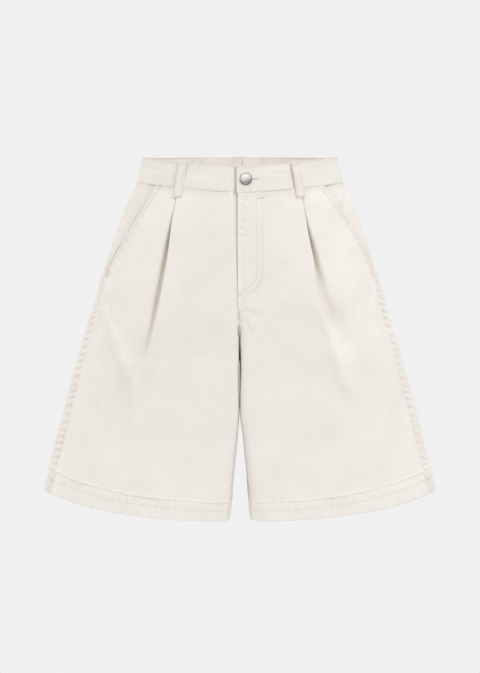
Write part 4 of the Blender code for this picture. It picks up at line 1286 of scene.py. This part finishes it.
class Nodes:
    """The nodes of a material or of the world under construction."""

    def __init__(self, owner, main):
        """main is the node that all the others feed."""
        owner.use_nodes = True
        self.owner, self.tree = owner, owner.node_tree
        self.main = self.tree.nodes[main]

    def feed(self, made, **inputs):
        """Set a node's inputs to constants, or link them to another node's output."""
        for name, value in inputs.items():
            socket = made.inputs[name.replace("_", " ")]
            if isinstance(value, bpy.types.NodeSocket):
                self.tree.links.new(value, socket)
            else:
                socket.default_value = value
        return made

    def node(self, kind, **inputs):
        return self.feed(self.tree.nodes.new(f"ShaderNode{kind}"), **inputs)

    def noise(self, scale, detail, roughness=0.5, vector=None):
        vector = vector or self.node("TexCoord").outputs["Object"]
        made = self.node("TexNoise", Vector=vector, Scale=scale, Detail=detail, Roughness=roughness)
        return made.outputs["Fac"]

    def ramp(self, source, *stops):
        made = self.node("ValToRGB", Fac=source)
        elements = made.color_ramp.elements
        while len(elements) < len(stops):
            elements.new(0.5)
        for element, (place, colour) in zip(elements, stops):
            element.position = place
            element.color = colour
        return made.outputs["Color"]

    def tint(self, name):
        """One of the mesh's tints: its wear with painted shade and highlight, or its depth in a pleat that
        sets a painted warm light.
        """
        made = self.node("Attribute")
        made.attribute_type = "GEOMETRY"
        made.attribute_name = name
        return made.outputs["Fac"]

    def times(self, first, second):
        """Two colours multiplied."""
        made = self.node("Mix")
        made.data_type = "RGBA"
        made.blend_type = "MULTIPLY"
        return self.feed(made, Factor=1, A=first, B=second).outputs["Result"]

    def bump(self, height, strength, distance, **under):
        made = self.node("Bump", Height=height, Strength=strength, Distance=distance, **under)
        return made.outputs["Normal"]


def grey(value):
    return (value, value, value, 1)


def surface_nodes(name):
    return Nodes(bpy.data.materials.new(name), "Principled BSDF")


def twill(name):
    """Washed cotton twill: fine diagonal ribs, slubs, faint clouds, wear with painted shade and highlight on
    its relief, and painted warm light in its pleats.
    """
    shader = surface_nodes(name)
    uv = shader.node("UVMap")
    uv.uv_map = "cloth"
    turned = shader.node("Mapping", Vector=uv.outputs["UV"], Rotation=(0, 0, math.radians(TWILL_ANGLE)))
    ribs = shader.node("TexWave", Vector=turned.outputs["Vector"], Scale=1 / (TWILL_PITCH * MM) / 3.2,
                       Distortion=1.2, Detail=2).outputs["Fac"]
    slubs, clouds, patches = shader.noise(430, 3), shader.noise(30, 4, 0.62), shader.noise(9, 2)
    # Wear with painted shade and highlight, from the fine relief, as 0 to 1
    worn_and_shaded = shader.node("Math")
    worn_and_shaded.operation = "MULTIPLY_ADD"
    worn_and_shaded.inputs[1].default_value = 0.5
    worn_and_shaded.inputs[2].default_value = 0.5
    shader.tree.links.new(shader.tint("wear"), worn_and_shaded.inputs[0])
    colour = shader.ramp(clouds, (0.30, CLOTH_SHADE), (0.52, CLOTH_COLOUR), (0.75, CLOTH_LIGHT))
    for source, *stops in (
            (patches, (0.38, (1, 0.994, 0.988, 1)), (0.62, (0.996, 1, 0.998, 1))),
            (slubs, (0.28, grey(0.962)), (0.60, grey(1))),
            (ribs, (0, grey(0.975)), (0.6, grey(1))),
            (worn_and_shaded.outputs[0], (0, VALLEY_WEAR_AND_SHADE), (0.5, grey(1)), (1, RIDGE_WEAR_AND_LIGHT)),
            (shader.tint("fold"), (0, grey(1)), (1, FOLD_TINT))):
        colour = shader.times(colour, shader.ramp(source, *stops))
    normal = shader.bump(slubs, 0.24, 0.0003, Normal=shader.bump(ribs, 0.22, 0.00014))
    shader.feed(shader.main, Base_Color=colour, Normal=normal, Roughness=0.92, Specular_IOR_Level=0.2,
                Sheen_Weight=0.08, Sheen_Roughness=0.5)
    return shader.owner


def sewing_thread():
    shader = surface_nodes("sewing_thread")
    colour = shader.ramp(shader.noise(900, 2), (0.3, THREAD_SHADE), (0.7, THREAD_COLOUR))
    shader.feed(shader.main, Base_Color=colour, Normal=shader.bump(shader.noise(2600, 1), 0.3, 0.0001),
                Roughness=0.75, Specular_IOR_Level=0.3)
    return shader.owner


def metal(name):
    """Brushed metal, darker where the mesh carries painted shade."""
    shader = surface_nodes(name)
    stretch = shader.node("Mapping", Vector=shader.node("TexCoord").outputs["Object"],
                          Scale=(260, 260, 2600))
    brushed = shader.noise(1, 3, 0.5, stretch.outputs["Vector"])
    colour = shader.times(shader.ramp(brushed, (0.3, METAL_SHADE), (0.7, METAL_COLOUR)),
                          shader.ramp(shader.tint("wear"), (0, grey(0.40)), (1, grey(1))))
    shader.feed(shader.main, Base_Color=colour, Normal=shader.bump(brushed, 0.10, 0.00005),
                Metallic=1, Roughness=0.32)
    return shader.owner


def floor_material():
    shader = surface_nodes("pale_floor")
    colour = shader.ramp(shader.noise(3, 2), (0.3, grey(0.86)), (0.7, grey(0.88)))
    shader.feed(shader.main, Base_Color=colour, Roughness=0.9)
    return shader.owner


# Camera, light and floor

def placed(name, data, location=(0, 0, 0)):
    made = bpy.data.objects.new(name, data)
    made.location = location
    bpy.context.collection.objects.link(made)
    return made


def camera():
    """The photograph's view, from 3 m away and tilted a little down."""
    data = bpy.data.cameras.new("camera")
    data.lens = FOCAL_PIXELS * SENSOR / IMAGE_HEIGHT
    data.sensor_width = SENSOR
    data.clip_end = 50
    data.shift_x = CAMERA_SHIFT_PIXELS / IMAGE_HEIGHT
    made = placed("camera", data, CAMERA_PLACE)
    made.rotation_euler = (math.radians(90 - CAMERA_TILT), 0, 0)
    bpy.context.scene.camera = made


def area_light(name, place, target, size, power, seen_in_gloss=True, lights_cloth=True):
    """A rectangular light at a place that faces the target."""
    data = bpy.data.lights.new(name, "AREA")
    data.shape = "RECTANGLE"
    data.size, data.size_y = size
    data.energy = power
    made = placed(name, data, place)
    made.visible_glossy = seen_in_gloss
    made.visible_diffuse = lights_cloth
    made.visible_camera = False
    made.rotation_euler = (Vector(target) - Vector(place)).to_track_quat("-Z", "Y").to_euler()


def floor():
    mesh = bpy.data.meshes.new("floor")
    half, height = 0.9, -1.06
    corners = ((-half, -half), (half, -half), (half, half), (-half, half))
    mesh.from_pydata([(x, y, height) for x, y in corners], [], [(0, 1, 2, 3)])
    mesh.materials.append(floor_material())
    placed("floor", mesh)


def surroundings():
    """A pale backdrop for the camera, and a room that is lighter above for the cloth and in gloss."""
    world = bpy.data.worlds.new("studio")
    bpy.context.scene.world = world
    sky = Nodes(world, "Background")
    rays = sky.node("LightPath").outputs
    toward = sky.node("TexCoord").outputs["Generated"]
    strength = 1
    for ray, (low, high, tilt) in (("Is Diffuse Ray", ROOM_LIGHT), ("Is Glossy Ray", ROOM_GLOSS)):
        height = sky.node("VectorMath")
        height.operation = "DOT_PRODUCT"
        height.inputs[1].default_value = tilt
        sky.tree.links.new(toward, height.inputs[0])
        level = sky.node("MapRange", Value=height.outputs["Value"], From_Min=-0.5, From_Max=0.5,
                         To_Min=low, To_Max=high)
        choose = sky.node("Mix", Factor=rays[ray], A=strength, B=level.outputs["Result"])
        strength = choose.outputs["Result"]
    sky.feed(sky.main, Color=grey(BACKDROP), Strength=strength)


# The garment

FABRIC = twill("ecru_twill_face")
THREAD = sewing_thread()
METAL = metal("button_dome")
SURFACES = {}
PIECES = {
    "front": (panel_downs, front_row, CLOTH),
    "back": (panel_downs, back_row, CLOTH),
    "pocket_facing": (facing_downs, facing_row, CLOTH),
    "hem_front": (hem_downs, hem_front_row, HEM_CLOTH),
    "hem_back": (hem_downs, hem_back_row, HEM_CLOTH),
    "waistband": (band_downs, band_row, BAND_CLOTH),
}


def sheets_of_side(side):
    """One half's pieces of cloth."""
    for piece, (downs, row, wall) in PIECES.items():
        node = f"{piece}_{side}"
        surface = SURFACES[node] = Surface(side, downs(side), row, wall)
        made = cloth(node, surface, keyhole if node == "waistband_left" else None)


def sew_side(side):
    """The rows of stitches of one half of the garment."""
    def slant(down):
        return min(slant_arc(side, section(down)), section(down).seam)

    front = f"front_{side}"
    downs = np.arange(WAISTBAND_HEIGHT + 3, POCKET_END_DOWN - 1, 3)
    for seed, offset in enumerate(POCKET_ROWS):
        sew(front, [slant(down) - offset / SLANT_LEAN for down in downs], downs, seed)
    downs = np.arange(POCKET_END_DOWN + 3, HEM_SEAM_DOWN - 3, 4)
    sew(front, [section(down).seam - SIDE_ROW for down in downs], downs, 3)
    above, hem = section(HEM_SEAM_DOWN - HEM_LEDGE_ROW), section(HEM_SEAM_DOWN + HEM_ROW)
    level_rows = (("front", above, 2, above.seam - 2), ("back", above, above.seam + 3, above.length - 2),
                  ("hem_front", hem, 2, hem.seam - 1), ("hem_back", hem, hem.seam + 2, hem.length - 2))
    for seed, (piece, level, start, end) in enumerate(level_rows, 4):
        sew(f"{piece}_{side}", np.arange(start, end, 4), level.down, seed)
    for seed, down in enumerate((BAND_TOP_ROW, WAISTBAND_HEIGHT - BAND_ROW), 8):
        arcs = np.arange(1 if side == "left" else 12, section(down).length - 5, 4)
        sew(f"waistband_{side}", arcs, down, seed)
    arc = slant(POCKET_BAR_DOWN) - 3.6
    satin(front, (arc, POCKET_BAR_DOWN - 3), (arc, POCKET_BAR_DOWN + 4), 2)


def sew_fly():
    """The fly's turning rows, its bar tacks and the row below it, and the centre back seam's rows."""
    for seed, (across, fall) in enumerate(FLY_ROWS, 20):
        straight = np.arange(WAISTBAND_HEIGHT + 2.5, FLY_TURN_DOWN, 3)
        turn = np.linspace(0, 1.5, 22)
        arcs = np.concatenate([np.full(len(straight), across), across * np.cos(turn)])
        downs = np.concatenate([straight, FLY_TURN_DOWN + fall * np.sin(turn)])
        sew("front_left", arcs, downs, seed)
    sew("front_left", CENTRE_ROW, np.arange(178, 222, 3), 22)
    for start, end in (((23, 153.5), (27.5, 161)), ((27.8, 154.5), (22.5, 160.5))):
        sew("front_left", *np.linspace(start, end, 8).T, 30)
    satin("front_left", (0, 170.5), (0, 177), 2.2)
    satin("front_left", (24.5, 45.6), (33.5, 44.6), 1.5)
    downs = np.arange(WAISTBAND_HEIGHT + 3, 214, 3)
    for seed, offset in enumerate(BACK_ROWS, 23):
        sew("back_left", [section(down).length - offset for down in downs], downs, seed)


def sew_buttonhole():
    """Satin stitches along both lips of the slit and across its end."""
    start, end = BUTTON_X + BUTTONHOLE_EYE, BUTTON_X + BUTTONHOLE_REACH
    half, bar = BUTTONHOLE_OPEN / 2 + 0.75, 1.4
    for first, last, width in (((start, -half), (end, -half), 1.3), ((start, half), (end, half), 1.3),
                               ((end + 0.4, -bar), (end + 0.4, bar), 1.2)):
        ends = [(arc, BUTTON_DOWN + past) for arc, past in (first, last)]
        satin("waistband_left", *ends, width, 0.45, 0, "buttonhole")


def belt_loops():
    for i, side in enumerate(SIDES):
        belt_loop(f"belt_loop_front_{side}", side, front_loop_place(side), 10 + 20 * i)
        belt_loop(f"belt_loop_back_{side}", side, back_side_loop_place, 15 + 20 * i)
    belt_loop("belt_loop_centre_back", "left", centre_back_place, 60)


camera()
for each_side in SIDES:
    sheets_of_side(each_side)
    sew_side(each_side)
sew_fly()
sew_buttonhole()
belt_loops()
button()
for thread_name, thread_rows in THREADS.items():
    thread_mesh(thread_name, thread_rows)
surroundings()
floor()
area_light("key", (2.3, -2.1, 1.7), (0, 0, -0.25), (0.5, 0.5), KEY_POWER, seen_in_gloss=False)
area_light("softbox", (-0.1, -2.2, 2.1), (0, -0.1, -0.02), (2.2, 1.1), SOFTBOX_POWER,
           lights_cloth=False)
area_light("inner_fill", (0.012, -0.03, -0.04), (0.012, 0.1, -0.012), (0.2, 0.012), INNER_POWER,
           seen_in_gloss=False)
bpy.context.scene.view_settings.view_transform = "Standard"
